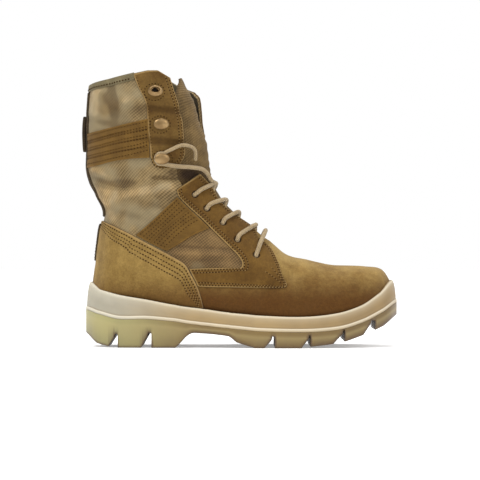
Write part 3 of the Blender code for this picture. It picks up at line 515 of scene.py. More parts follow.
class Relief:
    """The folds and the gentle unevenness of the upper."""

    RIM = (46.0, 14.0)
    SIDE_FADE = 10.0
    END_FADE = 2.2
    WAVE = 0.16
    BACK_FLAT = (13.0, 0.75)

    CREASES = (
        Crease((-38, 167), (-6, 160), 5.0, -1.8),
        Crease((-6, 160), (24, 163), 5.0, -1.1),
        Crease((27, 167.5), (52, 167), 2.0, -2.2),
        Crease((-26, 150), (34, 158), 6.5, 2.0),
        Crease((-18, 136), (6, 129), 4.5, -0.9),
        Crease((-32, 154), (-20, 134), 6.5, 1.6),
        Crease((8, 144), (34, 138), 5.0, -0.8),
        Crease((-34, 252), (-20, 254), 1.8, 1.0),
        Crease((-18, 256), (-15, 232), 4.6, -2.3),
        Crease((-33, 252), (-35, 236), 5.0, 1.9),
        Crease((-4, 240), (6, 222), 6.0, 1.4),
        Crease((-41, 226), (-18, 220), 4.0, -1.2),
        Crease((18, 236), (50, 233), 3.6, -1.7),
        Crease((20, 224), (48, 222), 4.0, 0.6),
        Crease((19, 204), (52, 202), 4.0, -1.9),
        Crease((20, 192), (48, 191), 3.6, 0.6),
        Crease((50, 99.5), (100, 97.0), 2.2, -1.0, Side.OUTER),
        Crease((50, 93.5), (96, 91.5), 3.4, 0.9, Side.OUTER),
        Crease((56, 87), (104, 85), 2.8, -0.6, Side.OUTER),
        Crease((50, 99), (100, 96), 2.4, -1.2, Side.INNER),
        Crease((54, 92), (96, 90), 3.4, 1.0, Side.INNER),
        Crease((-27, 108), (-31, 70), 5.0, -0.9),
        Crease((150, 66), (128, 46), 7.0, -0.9),
        Crease((168, 76), (150, 50), 8.0, 0.8),
        Crease((196, 74), (186, 52), 9.0, -0.4),
        Crease((222, 62), (226, 48), 7.0, -0.5),
        Crease((20, 90), (50, 60), 9.0, 0.6),
        Crease((46, 172), (62, 171), 3.2, -2.4),
        Crease((-20, 246), (8, 231), 7.0, -1.5),
        Crease((-8, 240), (14, 252), 4.0, 0.7),
        Crease((-36, 176), (-22, 168), 4.0, 1.3),
    )

    def lift(self, points: Array) -> Array:
        """How far the surface stands out at points of the last.

        Each crease is a bell across its line that fades past its ends, and low waves in three
        directions make the leather a little uneven.

        Args:
            points: Places on the last.
        Returns:
            Distances along the normal, in metres.
        """
        x = points[..., 0] / MM
        y = points[..., 1] / MM
        z = points[..., 2] / MM
        total = np.zeros(x.shape)
        for crease in self.CREASES:
            ax, az = crease.start
            bx, bz = crease.end
            run = np.hypot(bx - ax, bz - az)
            along = ((x - ax) * (bx - ax) + (z - az) * (bz - az)) / run
            aside = ((x - ax) * (bz - az) - (z - az) * (bx - ax)) / run
            past = np.maximum(np.maximum(-along, along - run), 0.0)
            share = np.exp(-((aside / crease.width) ** 2) - (past / (self.END_FADE * crease.width)) ** 2)
            if crease.side:
                share = share * np.clip(crease.side.value * y / self.SIDE_FADE, 0, 1)
            total = total + crease.depth * share
        waves = np.sin(x / 9.1 + 0.6 * np.sin(z / 13.0)) * np.sin(z / 8.3 + 0.5 * np.sin(y / 11.0))
        waves = waves + 0.6 * np.sin(x / 4.7 + z / 5.9 + 1.3) * np.sin(y / 6.1 + z / 7.7)
        width, share = self.BACK_FLAT
        total = total * (1 - share * bell(y, width) * (x < 10))
        above_rim = ramp(z, *self.RIM)
        return (total * above_rim + self.WAVE * waves * above_rim) * MM

    def mark(self, points: Array) -> Array:
        """The folds' mark for the finishes' painted shade and highlight: -1 in a deep trough, 1 on a high
        ridge.
        """
        return np.clip(self.lift(points) / (2 * MM), -1, 1)


LAST = Last()
RELIEF = Relief()


def skin(at: Array, turn: Array, lift: Array) -> Array:
    """Points over the creased last: the last's own, moved out along its normal.

    Args:
        at: Section numbers.
        turn: Signed turns.
        lift: Distances over the creased surface, in metres.
    Returns:
        Points.
    """
    base = LAST.point(at, turn)
    away = np.asarray(lift) + RELIEF.lift(base)
    return base + LAST.normal(at, turn) * away[..., None]


def station(along: float, up: float, side: Side) -> Station:
    """Section number and signed turn of a place in the side view, given in shares.

    Args:
        along: The place along the sole's length.
        up: Its height, as height() reads it.
        side: The side of the boot.
    Returns:
        The station.
    """
    at, turn = LAST.locate(np.array(along * SOLE_LENGTH - HEEL_BACK), height(up))
    return float(at), float(turn) * side.value


def grid_faces(rows: int, columns: int, wrap_rows: bool = False, wrap_columns: bool = False) -> Array:
    """Four-sided faces of a grid of points, row by row.

    Args:
        rows: The grid's rows.
        columns: Its columns.
        wrap_rows: Join the last row to the first.
        wrap_columns: Join the last column to the first.
    Returns:
        Four point numbers for each face.
    """
    row_count = rows if wrap_rows else rows - 1
    column_count = columns if wrap_columns else columns - 1
    row, column = np.meshgrid(np.arange(row_count), np.arange(column_count), indexing="ij")
    next_row = (row + 1) % rows
    next_column = (column + 1) % columns
    corners = [
        row * columns + column,
        next_row * columns + column,
        next_row * columns + next_column,
        row * columns + next_column,
    ]
    return np.stack([corner.ravel() for corner in corners], axis=1)


def fan(centre: int, ring: Array, after: Array) -> Array:
    """Three-sided faces from a centre to a ring of points, the last corner given twice."""
    return np.stack([np.full(len(ring), centre), ring, after, after], axis=1)


def capped(points: Array, wrap: bool, middles: Array | None = None) -> tuple[Array, Array]:
    """A tube's points and faces, with a fan of faces over each end.

    Args:
        points: Sections by points round each of them.
        wrap: Join the last point of a section to its first.
        middles: The fans' centres, else the means of the end sections.
    Returns:
        All points as one list, the two centres last, and the faces.
    """
    count, columns = points.shape[:2]
    if middles is None:
        middles = np.stack([points[0].mean(axis=0), points[-1].mean(axis=0)])
    ring = np.arange(columns if wrap else columns - 1)
    after = (ring + 1) % columns
    base = (count - 1) * columns
    front = fan(count * columns, ring, after)
    back = fan(count * columns + 1, base + after, base + ring)
    faces = np.concatenate([grid_faces(count, columns, wrap_columns=wrap), front, back])
    return np.concatenate([points.reshape(-1, 3), middles]), faces


def places_on(line: Array, run: Array, goals: Array) -> Array:
    """Places on a line of points at some of its running lengths, one coordinate at a time."""
    return np.stack([np.interp(goals, run, line[:, axis]) for axis in range(line.shape[1])], axis=1)


def surface_map(run: Array, aside: Array) -> Array:
    """Surface coordinates of a grid, from its running and sideways lengths."""
    return np.stack(np.broadcast_arrays(run, aside), axis=-1)


class Solidity(Enum):
    """How a piece's faces are turned outwards."""

    CLOSED = "closed"
    OPEN = "open"
    FLIPPED = "flipped"


@dataclass
class Piece:
    """One mesh piece of the scene: its points, faces and what its material reads.

    uv: Surface coordinates of the points.
    marks: Named values of the points.
    """

    name: str
    points: Array
    faces: Array
    uv: Array | None = None
    marks: dict[str, Array] = field(default_factory=dict)
    solidity: Solidity = Solidity.CLOSED

    def mesh(self, slots: Array | None) -> bpy.types.Mesh:
        """The mesh as given, with faces of three or four corners.

        Args:
            slots: The material number of each face.
        Returns:
            The mesh.
        """
        mesh = bpy.data.meshes.new(self.name)
        points = np.asarray(self.points, np.float32).reshape(-1, 3)
        faces = np.asarray(self.faces, np.int32)
        if self.solidity is Solidity.FLIPPED:
            faces = faces[:, ::-1]
        used = faces != np.roll(faces, 1, axis=1)
        corners = faces[used]
        starts = np.concatenate([[0], np.cumsum(used.sum(axis=1))[:-1]]).astype(np.int32)
        mesh.vertices.add(len(points))
        mesh.vertices.foreach_set("co", points.ravel())
        mesh.loops.add(len(corners))
        mesh.loops.foreach_set("vertex_index", corners)
        mesh.polygons.add(len(faces))
        mesh.polygons.foreach_set("loop_start", starts)
        if slots is not None:
            mesh.polygons.foreach_set("material_index", np.asarray(slots, np.int32))
        mesh.update(calc_edges=True)
        if self.uv is not None:
            values = np.asarray(self.uv, np.float32).reshape(-1, 2)[corners]
            mesh.uv_layers.new(name="Surface").data.foreach_set("uv", values.ravel())
        for mark, values in self.marks.items():
            attribute = mesh.attributes.new(mark, "FLOAT", "POINT")
            attribute.data.foreach_set("value", np.asarray(values, np.float32).ravel())
        return mesh

    def build(
        self, node: str, slot: str, *finishes: bpy.types.Material, slots: Array | None = None
    ) -> bpy.types.Object:
        """Make the object, close its seams, ride it on the body and dress it.

        Args:
            node: The solid that it stands for, or no word.
            slot: The record's material slot, not used.
            finishes: The piece's materials.
            slots: The material number of each face.
        Returns:
            The object, at the origin.
        """
        mesh = self.mesh(slots)
        shell = bmesh.new()
        shell.from_mesh(mesh)
        bmesh.ops.remove_doubles(shell, verts=shell.verts, dist=2e-6)
        bmesh.ops.dissolve_degenerate(shell, dist=1e-7, edges=shell.edges)
        if self.solidity is Solidity.CLOSED:
            bmesh.ops.recalc_face_normals(shell, faces=shell.faces)
        shell.to_mesh(mesh)
        shell.free()
        mesh.shade_smooth()
        for finish in finishes:
            mesh.materials.append(finish)
        obj = bpy.data.objects.new(self.name, mesh)
        bpy.context.scene.collection.objects.link(obj)
        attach(obj, "root")
        if node:
            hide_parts(node)
        LOG.info("%s: %d faces", self.name, len(mesh.polygons))
        return obj


def slab(name: str, top: Array, bottom: Array, uv: Array, marks: dict[str, Array] | None = None) -> Piece:
    """A closed piece between a top and a bottom grid, joined round their border.

    Args:
        name: The piece's name.
        top: Points of the outer face, rows by columns.
        bottom: Points of the inner face, of the same shape.
        uv: The top's surface coordinates.
        marks: Values for each point of the top.
    Returns:
        The piece.
    """
    rows, columns = top.shape[:2]
    count = rows * columns
    faces = grid_faces(rows, columns)
    index = np.arange(count).reshape(rows, columns)
    border = np.concatenate([index[0, :-1], index[:-1, -1], index[-1, :0:-1], index[:0:-1, 0]])
    after = np.roll(border, -1)
    sides = np.stack([border, after, after + count, border + count], axis=1)
    every = np.concatenate([faces, faces[:, ::-1] + count, sides])
    points = np.concatenate([top.reshape(-1, 3), bottom.reshape(-1, 3)])
    both_marks = {mark: np.concatenate([np.ravel(values)] * 2) for mark, values in (marks or {}).items()}
    return Piece(name, points, every, np.concatenate([uv.reshape(-1, 2)] * 2), both_marks)


@dataclass
class Patch:
    """A panel between two rails over the last.

    A rail is a smooth line through stations (at, turn). The panel's surface goes straight from
    one rail to the other, with rounded edges.

    rail_a, rail_b: Stations of the rails, as many in each.
    thick: The panel's thickness.
    lift: Its underside over the last.
    cell: The wanted size of a face.
    soft: The edge's rounding.
    straight: Its ends are straight lines in the side view.
    start_line, end_line: Stations that its first and last end follow instead.
    """

    ROUNDING = np.array([0.0, 0.08, 0.3, 0.65])
    ACROSS = np.linspace(0, 1, 41)
    EDGE_MARK = 3 * MM

    rail_a: Array
    rail_b: Array
    thick: float
    lift: float = FIT
    cell: float = 1.1 * MM
    soft: float = 0.9 * MM
    straight: bool = True
    start_line: Array | None = None
    end_line: Array | None = None

    def __post_init__(self) -> None:
        """Measure the rails and how far each end strays from the even line between them."""
        self._strays = (
            self.stray(self.rail_a[0], self.rail_b[0], self.start_line),
            self.stray(self.rail_a[-1], self.rail_b[-1], self.end_line),
        )
        count = len(self.rail_a)
        self._fine = np.linspace(0, count - 1, max(600, 3 * count))
        rail_a = smooth_rows(self.rail_a, self._fine)
        rail_b = smooth_rows(self.rail_b, self._fine)
        points_a = LAST.point(rail_a[:, 0], rail_a[:, 1])
        points_b = LAST.point(rail_b[:, 0], rail_b[:, 1])
        self._run = (lengths_along(points_a) + lengths_along(points_b)) / 2
        middle = LAST.point((rail_a[:, 0] + rail_b[:, 0]) / 2, (rail_a[:, 1] + rail_b[:, 1]) / 2)
        width = np.linalg.norm(points_a - middle, axis=1) + np.linalg.norm(points_b - middle, axis=1)
        self._width = np.maximum(width, 0.2 * MM)

    def stray(self, first: Array, last: Array, line: Array | None) -> Array:
        """How far an end line strays from the even line between its own ends.

        Args:
            first: The end's station on the first rail.
            last: Its station on the second rail.
            line: Stations that it follows, or None.
        Returns:
            Differences in (at, turn) at even shares across.
        """
        share = self.ACROSS[:, None]
        if line is None and not self.straight:
            return np.zeros((len(share), 2))
        if line is None:
            start = LAST.point(first[0], first[1])
            end = LAST.point(last[0], last[1])
            places = start + (end - start) * share
            at, turn = LAST.locate(places[:, 0], places[:, 2])
            line = np.stack([at, turn * np.sign(first[1] + last[1])], axis=1)
        line = smooth_rows(line, np.linspace(0, len(line) - 1, len(share)))
        return line - (line[:1] + (line[-1:] - line[:1]) * share)

    @property
    def length(self) -> float:
        """Length along the middle of the rails."""
        return float(self._run[-1])

    def at_share(self, run: Array, inset: Array, from_b: bool = False) -> Array:
        """Stations at a run along the panel and an inset from one rail.

        Args:
            run: Distances along the panel, in metres.
            inset: Distances in from the rail, in metres.
            from_b: Measure from the second rail.
        Returns:
            Stations (at, turn).
        """
        fine = np.interp(run, self._run, self._fine)
        share = np.clip(inset / np.interp(run, self._run, self._width), 0, 1)
        share = 1 - share if from_b else share
        start = smooth_rows(self.rail_a, fine)
        even = start + (smooth_rows(self.rail_b, fine) - start) * share[..., None]
        down = np.clip(run / self.length, 0, 1)
        for axis in range(2):
            first, last = (np.interp(share, self.ACROSS, stray[:, axis]) for stray in self._strays)
            even[..., axis] += first * (1 - down) ** 2 + last * down**2
        return even

    def spaces(self, length: float) -> Array:
        """Even shares of a length in steps of about a cell."""
        return np.linspace(0, 1, max(int(length / self.cell), 4))

    def grid(self) -> tuple[Array, Array, Array, Array]:
        """The panel's grid, closer near its edges.

        Returns:
            Stations, run and inset in metres, and the distance to the panel's edge.
        """
        edge = self.ROUNDING * self.soft
        core = self.soft + self.spaces(self.length) * max(self.length - 2 * self.soft, 1e-5)
        run = np.concatenate([edge, core, self.length - edge[::-1]])
        width = np.interp(run, self._run, self._width)
        soft = np.minimum(self.soft, width * 0.3)[:, None]
        edge = soft * self.ROUNDING[None, :]
        core = soft + (width[:, None] - 2 * soft) * self.spaces(float(width.max()))[None, :]
        inset = np.concatenate([edge, core, width[:, None] - edge[:, ::-1]], axis=1)
        run = np.broadcast_to(run[:, None], inset.shape)
        stations = self.at_share(run.ravel(), inset.ravel()).reshape(*inset.shape, 2)
        to_side = np.minimum(inset, width[:, None] - inset)
        return stations, run, inset, np.minimum(to_side, np.minimum(run, self.length - run))

    def make(self, name: str, swell: Swell | None = None) -> Piece:
        """The panel as a closed piece.

        Its height over the underside follows a quarter circle from the edge inwards.

        Args:
            name: The piece's name.
            swell: A function of run, inset and points that returns more lift.
        Returns:
            The piece.
        """
        stations, run, inset, to_edge = self.grid()
        at, turn = stations[..., 0], stations[..., 1]
        base = LAST.point(at, turn)
        share = np.clip(to_edge / self.soft, 0, 1)
        more = swell(run, inset, base) if swell else np.zeros(run.shape)
        rise = self.thick * np.sqrt(np.clip(1 - (1 - share) ** 2, 0, 1)) + more * share
        # The finishes paint light from these marks: lighter edges, partly wear, painted shade at the cut edge
        # and in pits, and painted fold shade and highlight.
        marks = {
            "edge": np.clip(to_edge / self.EDGE_MARK, 0.02, 1),
            "fold": RELIEF.mark(base),
            "pit": np.clip(-more / MM, 0, 1),
        }
        top = skin(at, turn, self.lift + rise)
        return slab(name, top, skin(at, turn, np.full(rise.shape, self.lift)), surface_map(run, inset), marks)

    def seam(self, inset: float, from_b: bool = False, ends: Station = (1.5, 1.5)) -> Array:
        """A line of stations at an even inset from a rail.

        Args:
            inset: The inset, in millimetres.
            from_b: Measure from the second rail.
            ends: How far before the panel's two ends it stops, in millimetres.
        Returns:
            Stations.
        """
        run = np.linspace(ends[0] * MM, self.length - ends[1] * MM, 300)
        return self.at_share(run, np.full(run.shape, inset * MM), from_b)


def sewn_edge(inset: Array, rows: tuple[float, float]) -> Array:
    """Lift of leather near an edge with two rows of stitches.

    It sinks in a bell at each row and swells in a bell between them.

    Args:
        inset: Distances in from the edge, in metres.
        rows: The rows' insets, in millimetres.
    Returns:
        Lifts, in metres.
    """
    swollen, sunk = (0.42, 0.95), (0.34, 0.7)
    far = inset / MM
    lift = swollen[0] * bell(far - (rows[0] + rows[1]) / 2, swollen[1])
    for row in rows:
        lift = lift - sunk[0] * bell(far - row, sunk[1])
    return lift * MM


@dataclass(frozen=True)
class Stitching:
    """Rows of stitches laid along seams.

    pitch: From one stitch to the next.
    length, width, rise: The size of one stitch.
    phase: The first stitch's place, as a share of the pitch.
    dip: How deep it sits in the material.
    reach: Half of the length of seam that gives its direction.
    corners: Its points along and across.
    """

    pitch: float = 3.0 * MM
    length: float = 2.1 * MM
    width: float = 0.75 * MM
    rise: float = 0.32 * MM
    phase: float = 0.5
    dip: float = 0.1 * MM
    reach: float = 0.5 * MM
    corners: tuple[int, int] = (5, 4)

    def make(self, name: str, seams: list[tuple[Array, float]]) -> Piece:
        """All stitches of some seams as one piece.

        A stitch is a low bead: its height is a product of two half waves, and its ends dip into
        the material.

        Args:
            name: The piece's name.
            seams: Lines of stations with the surface's lift over the last.
        Returns:
            The piece.
        """
        u, v = (np.linspace(-1, 1, count) for count in self.corners)
        grid_u, grid_v = np.meshgrid(u, v, indexing="ij")
        along = grid_u * self.length / 2
        across = grid_v * np.sqrt(np.clip(1 - 0.85 * grid_u**4, 0, 1)) * self.width / 2
        arch = np.sqrt(np.clip(1 - grid_v**2, 0, 1)) * 1.2 - 0.25
        up = self.rise * arch * (1 - 0.8 * grid_u**4) - self.dip
        beads = []
        for stations, lift in seams:
            line = skin(stations[:, 0], stations[:, 1], np.full(len(stations), lift))
            run = lengths_along(line)
            count = max(int(run[-1] / self.pitch), 1)
            goals = (np.arange(count) + self.phase) * run[-1] / count
            ahead = places_on(line, run, np.clip(goals + self.reach, 0, run[-1]))
            behind = places_on(line, run, np.clip(goals - self.reach, 0, run[-1]))
            tangent = unit(ahead - behind)
            normal = LAST.normal(*places_on(stations, run, goals).T)
            aside = unit(np.cross(normal, tangent))
            bead = places_on(line, run, goals)[:, None, None, :]
            for direction, reach in ((tangent, along), (aside, across), (normal, up)):
                bead = bead + direction[:, None, None, :] * reach[None, ..., None]
            beads.append(bead)
        points = np.concatenate(beads)
        starts = np.arange(len(points)) * u.size * v.size
        faces = (grid_faces(*self.corners)[None, :, :] + starts[:, None, None]).reshape(-1, 4)
        return Piece(name, points, faces, solidity=Solidity.OPEN)


def rgba(colour: Colour) -> tuple[float, float, float, float]:
    """A colour with full cover."""
    return (*colour, 1.0)


class Pad:
    """Short calls that lay out a material's nodes."""

    COLOUR_A, COLOUR_B, COLOUR_OUT = 6, 7, 2
    # Painted shade that a fold's trough is multiplied by.
    TROUGH_SHADE = (0.42, 0.36, 0.28)

    def __init__(self, name: str) -> None:
        """Start a material with its shader.

        Args:
            name: The material's name.
        """
        self.material = bpy.data.materials.new(name)
        self.material.use_nodes = True
        self.tree = self.material.node_tree
        self.shader = self.tree.nodes["Principled BSDF"]

    def feed(self, socket: Socket, value: object) -> None:
        """Give a socket its value.

        Args:
            socket: The input.
            value: Another socket to link, or a plain value.
        """
        if isinstance(value, Socket):
            self.tree.links.new(value, socket)
        else:
            socket.default_value = value

    def node(self, kind: str, inputs: dict, output: int | str = 0, **settings: object) -> Socket:
        """Add a node.

        Args:
            kind: Its type, without the word ShaderNode.
            inputs: What its inputs get, by name or number.
            output: The name or number of the wanted output.
            settings: Its settings.
        Returns:
            The output.
        """
        made = self.tree.nodes.new(f"ShaderNode{kind}")
        for key, value in settings.items():
            setattr(made, key, value)
        for key, value in inputs.items():
            self.feed(made.inputs[key], value)
        return made.outputs[output]

    def sum(
        self, operation: str, first: object, second: object = 0.0, third: object = 0.0, clamp: bool = False
    ) -> Socket:
        """One step of arithmetic on up to three values, held between 0 and 1 where asked."""
        return self.node("Math", {0: first, 1: second, 2: third}, operation=operation, use_clamp=clamp)

    def mix(self, share: object, first: object, second: object, blend: str = "MIX") -> Socket:
        """A share of the second colour over the first."""
        inputs = {"Factor": share, self.COLOUR_A: first, self.COLOUR_B: second}
        return self.node("Mix", inputs, self.COLOUR_OUT, data_type="RGBA", blend_type=blend)

    def cover(self, tone: Socket, share: object, colour: Colour) -> Socket:
        """A tone covered by a share of a colour."""
        return self.mix(share, tone, rgba(colour))

    def stain(self, tone: Socket, share: object, colour: Colour) -> Socket:
        """A tone multiplied by a share of a colour."""
        return self.mix(share, tone, rgba(colour), "MULTIPLY")

    def times(self, tone: Socket, value: Socket) -> Socket:
        """A tone multiplied by a value."""
        return self.mix(1.0, tone, value, "MULTIPLY")

    def spread(
        self, value: object, low: float, high: float, to_low: float = 0.0, to_high: float = 1.0
    ) -> Socket:
        """A value's range from low to high, carried smoothly to another range."""
        inputs = {"Value": value, "From Min": low, "From Max": high, "To Min": to_low, "To Max": to_high}
        return self.node("MapRange", inputs, "Result", interpolation_type="SMOOTHSTEP")

    def place(self) -> Socket:
        """Object coordinates, in metres."""
        return self.node("TexCoord", {}, "Object")

    def surface(self) -> Socket:
        """The piece's own surface coordinates, in metres."""
        return self.node("TexCoord", {}, "UV")

    def parts(self, vector: Socket) -> list[Socket]:
        """The three numbers of a vector."""
        return list(self.node("SeparateXYZ", {0: vector}).node.outputs)

    def mark(self, name: str) -> Socket:
        """A value stored on the piece's points."""
        return self.node("Attribute", {}, "Fac", attribute_name=name)

    def noise(self, vector: Socket, size: float, detail: float = 3.0, rough: float = 0.55) -> Socket:
        """Cloudy noise whose lumps have about this size in metres."""
        inputs = {"Vector": vector, "Scale": 1.0 / size, "Detail": detail, "Roughness": rough}
        return self.node("TexNoise", inputs, "Fac")

    def wave(self, value: Socket, pitch: float) -> Socket:
        """A sine of a length, with this pitch in metres."""
        return self.sum("SINE", self.sum("MULTIPLY", value, 2 * pi / pitch))

    def bump(self, raised: Socket, distance: float, strength: float = 1.0) -> Socket:
        """A bump of this depth in metres."""
        return self.node("Bump", {"Strength": strength, "Distance": distance, "Height": raised}, "Normal")

    def folded(self, tone: Socket, ridge: Colour = (1.45, 1.4, 1.32), share: float = 0.6) -> Socket:
        """A tone with painted shade in the folds' troughs and a painted highlight on their ridges.

        Args:
            tone: The tone.
            ridge: What a ridge's tone is multiplied by, its painted highlight.
            share: How much of that the highest ridge gets.
        Returns:
            The new tone.
        """
        fold = self.mark("fold")
        tone = self.stain(tone, self.spread(fold, -0.75, -0.05, 0.68, 0.0), self.TROUGH_SHADE)
        return self.stain(tone, self.spread(fold, 0.05, 0.8, 0.0, share), ridge)

    def done(
        self, colour: Socket, roughness: object, normal: Socket | None = None, **sockets: float
    ) -> bpy.types.Material:
        """Dress the shader.

        Args:
            colour: Its base colour.
            roughness: Its roughness.
            normal: Its normal.
            sockets: Plain values for its other sockets, with _ for a space.
        Returns:
            The material.
        """
        self.feed(self.shader.inputs["Base Color"], colour)
        self.feed(self.shader.inputs["Roughness"], roughness)
        if normal is not None:
            self.feed(self.shader.inputs["Normal"], normal)
        for name, value in sockets.items():
            self.shader.inputs[name.replace("_", " ")].default_value = value
        return self.material


@dataclass(frozen=True)
class Finish:
    """What the finishes share: a name and two main tones."""

    name: str
    light: Colour
    dark: Colour


@dataclass(frozen=True)
class Suede(Finish):
    """Brushed suede: blotches, a fine nap, edges with wear and a painted highlight, painted shade, and a
    darker low part.
    """

    low_tone: Colour = (0.115, 0.052, 0.015)
    low_height: float = 52 * MM
    high_height: float = 84 * MM
    # Lighter edges: partly rubbed wear, partly a painted highlight on the rounded edge.
    rubbed_highlight_tone: Colour = (0.36, 0.235, 0.105)
    rubbed_highlight_share: float = 0.35
    # The cut edge's own dark, also used as painted shade at cut edges and in pits.
    cut_and_shade_tone: Colour = (0.035, 0.018, 0.006)
    blotch: float = 26 * MM
    patch: float = 7 * MM
    pebble: float = 2.1 * MM
    nap: float = 0.9 * MM

    def make(self) -> bpy.types.Material:
        """Tones in blotches and patches, a painted highlight towards the toe, a darker low part, edges with
        wear and a painted highlight, painted shade at cut edges, in pits and in fold troughs, a painted
        highlight on fold ridges, and grain over them.

        Returns:
            The material.
        """
        pad = Pad(self.name)
        place = pad.place()
        along, _, up = pad.parts(place)
        blotch = pad.spread(pad.noise(place, self.blotch, 4.0, 0.6), 0.34, 0.68)
        patch = pad.noise(place, self.patch, 5.0, 0.65)
        nap = pad.noise(place, self.nap, 3.0, 0.7)
        tone = pad.mix(blotch, rgba(self.dark), rgba(self.light))
        tone = pad.cover(tone, pad.spread(patch, 0.35, 0.7, 0.0, 0.45), self.light)
        # Painted highlight: the suede grows lighter towards the toe.
        tone = pad.times(tone, pad.spread(along, 160 * MM, 220 * MM, 1.0, 1.17))
        # Darker towards the bottom, along a patchy height line.
        uneven = pad.sum("MULTIPLY_ADD", patch, 14 * MM, up)
        low = pad.spread(uneven, self.low_height + 7 * MM, self.high_height + 7 * MM, 0.95, 0.0)
        tone = pad.cover(tone, low, self.low_tone)
        border = pad.mark("edge")
        # Lighter near the edge: partly rubbed wear, partly a painted highlight.
        tone = pad.cover(tone, pad.spread(border, 0.25, 0.6, self.rubbed_highlight_share, 0.0), self.rubbed_highlight_tone)
        # A dark line along the cut edge: partly the cut's own dark, partly painted contact shade.
        tone = pad.cover(tone, pad.spread(border, 0.015, 0.13, 0.85, 0.0), self.cut_and_shade_tone)
        # Painted shade in the sunk seams and eyelet pits.
        tone = pad.cover(tone, pad.spread(pad.mark("pit"), 0.3, 0.9, 0.0, 0.9), self.cut_and_shade_tone)
        # Painted shade in the fold troughs and a painted highlight on the ridges.
        tone = pad.times(pad.folded(tone), pad.spread(nap, 0.3, 0.7, 0.88, 1.1))
        pebble = pad.noise(place, self.pebble, 4.0, 0.7)
        tone = pad.times(tone, pad.spread(pebble, 0.34, 0.66, 0.89, 1.09))
        normal = pad.bump(pad.sum("ADD", nap, pad.sum("MULTIPLY", patch, 1.4)), 0.2 * MM, 0.7)
        rough = pad.spread(patch, 0.3, 0.7, 0.84, 0.97)
        return pad.done(tone, rough, normal, Sheen_Weight=0.06, Sheen_Roughness=0.5, Specular_IOR_Level=0.12)


@dataclass(frozen=True)
class Nylon(Finish):
    """Heavy woven nylon: a twill whose ribs run on a slant, with weaker ones across them."""

    pitch: float = 2.45 * MM
    slant: float = 47.0
    depth: float = 0.12 * MM
    contrast: float = 0.64
    cool: Colour = (0.20, 0.165, 0.095)
    brown: Colour = (0.66, 0.53, 0.38)

    def make(self) -> bpy.types.Material:
        """Two crossing waves over soft clouds, then dust, a cool and a brown stain, and painted shade and
        highlight on the folds.

        Returns:
            The material.
        """
        pad = Pad(self.name)
        turned = pad.node("Mapping", {"Rotation": (0, 0, radians(self.slant)), "Vector": pad.surface()})
        across, along, _ = pad.parts(turned)
        rib = pad.sum("MULTIPLY", pad.wave(across, self.pitch), 0.62)
        cross = pad.sum("MULTIPLY", pad.wave(along, self.pitch * 0.85), 0.4)
        weave = pad.spread(pad.sum("ADD", rib, cross), -0.9, 0.9)
        place = pad.place()
        soft = pad.spread(pad.noise(place, 32 * MM, 3.0, 0.55), 0.35, 0.66)
        dust = pad.noise(place, 5 * MM, 4.0, 0.6)
        share = pad.sum("MULTIPLY_ADD", weave, self.contrast, -0.08)
        share = pad.sum("ADD", share, pad.sum("MULTIPLY", soft, 0.5), clamp=True)
        tone = pad.mix(share, rgba(self.dark), rgba(self.light))
        tone = pad.times(tone, pad.spread(dust, 0.3, 0.7, 0.9, 1.08))
        stain = pad.spread(pad.noise(place, 38 * MM, 2.0, 0.5), 0.45, 0.6, 0.0, 0.55)
        tone = pad.cover(tone, stain, self.cool)
        tone = pad.stain(tone, pad.sum("MULTIPLY", pad.mark("shade"), 0.75), self.brown)
        # Painted shade in the fold troughs and a cool painted highlight on the ridges.
        tone = pad.folded(tone, (1.62, 1.62, 1.72), 0.8)
        normal = pad.bump(weave, self.depth)
        return pad.done(tone, 0.75, normal, Sheen_Weight=0.08, Sheen_Roughness=0.4, Specular_IOR_Level=0.25)


@dataclass(frozen=True)
class Webbing(Finish):
    """Flat woven webbing: a close twill with a slight shine on the raised threads."""

    pitch: float = 1.3 * MM
    rubbed: Colour = (1.7, 1.7, 1.6)
    # Painted shade that the grooves are multiplied by.
    sunk: Colour = (0.35, 0.3, 0.25)

    def make(self) -> bpy.types.Material:
        """A product of two waves and a slanting one, then rubbed edges and painted shade in the grooves.

        Returns:
            The material.
        """
        pad = Pad(self.name)
        run, inset, _ = pad.parts(pad.surface())
        plain = pad.sum("MULTIPLY", pad.wave(run, self.pitch), pad.wave(inset, self.pitch * 0.8))
        twill = pad.wave(pad.sum("ADD", run, inset), self.pitch * 1.6)
        weave = pad.sum("ADD", plain, pad.sum("MULTIPLY", twill, 0.5))
        patch = pad.spread(pad.noise(pad.place(), 9 * MM, 4.0, 0.6), 0.3, 0.7, -0.3, 0.3)
        share = pad.sum("ADD", pad.spread(weave, -1.2, 1.2), patch, clamp=True)
        tone = pad.mix(share, rgba(self.dark), rgba(self.light))
        tone = pad.stain(tone, pad.spread(pad.mark("edge"), 0.1, 0.55, 0.55, 0.0), self.rubbed)
        # Painted shade in the grooves between the straps.
        tone = pad.stain(tone, pad.spread(pad.mark("pit"), 0.15, 0.8, 0.0, 0.3), self.sunk)
        return pad.done(tone, 0.78, pad.bump(weave, 0.16 * MM), Sheen_Weight=0.04, Specular_IOR_Level=0.15)


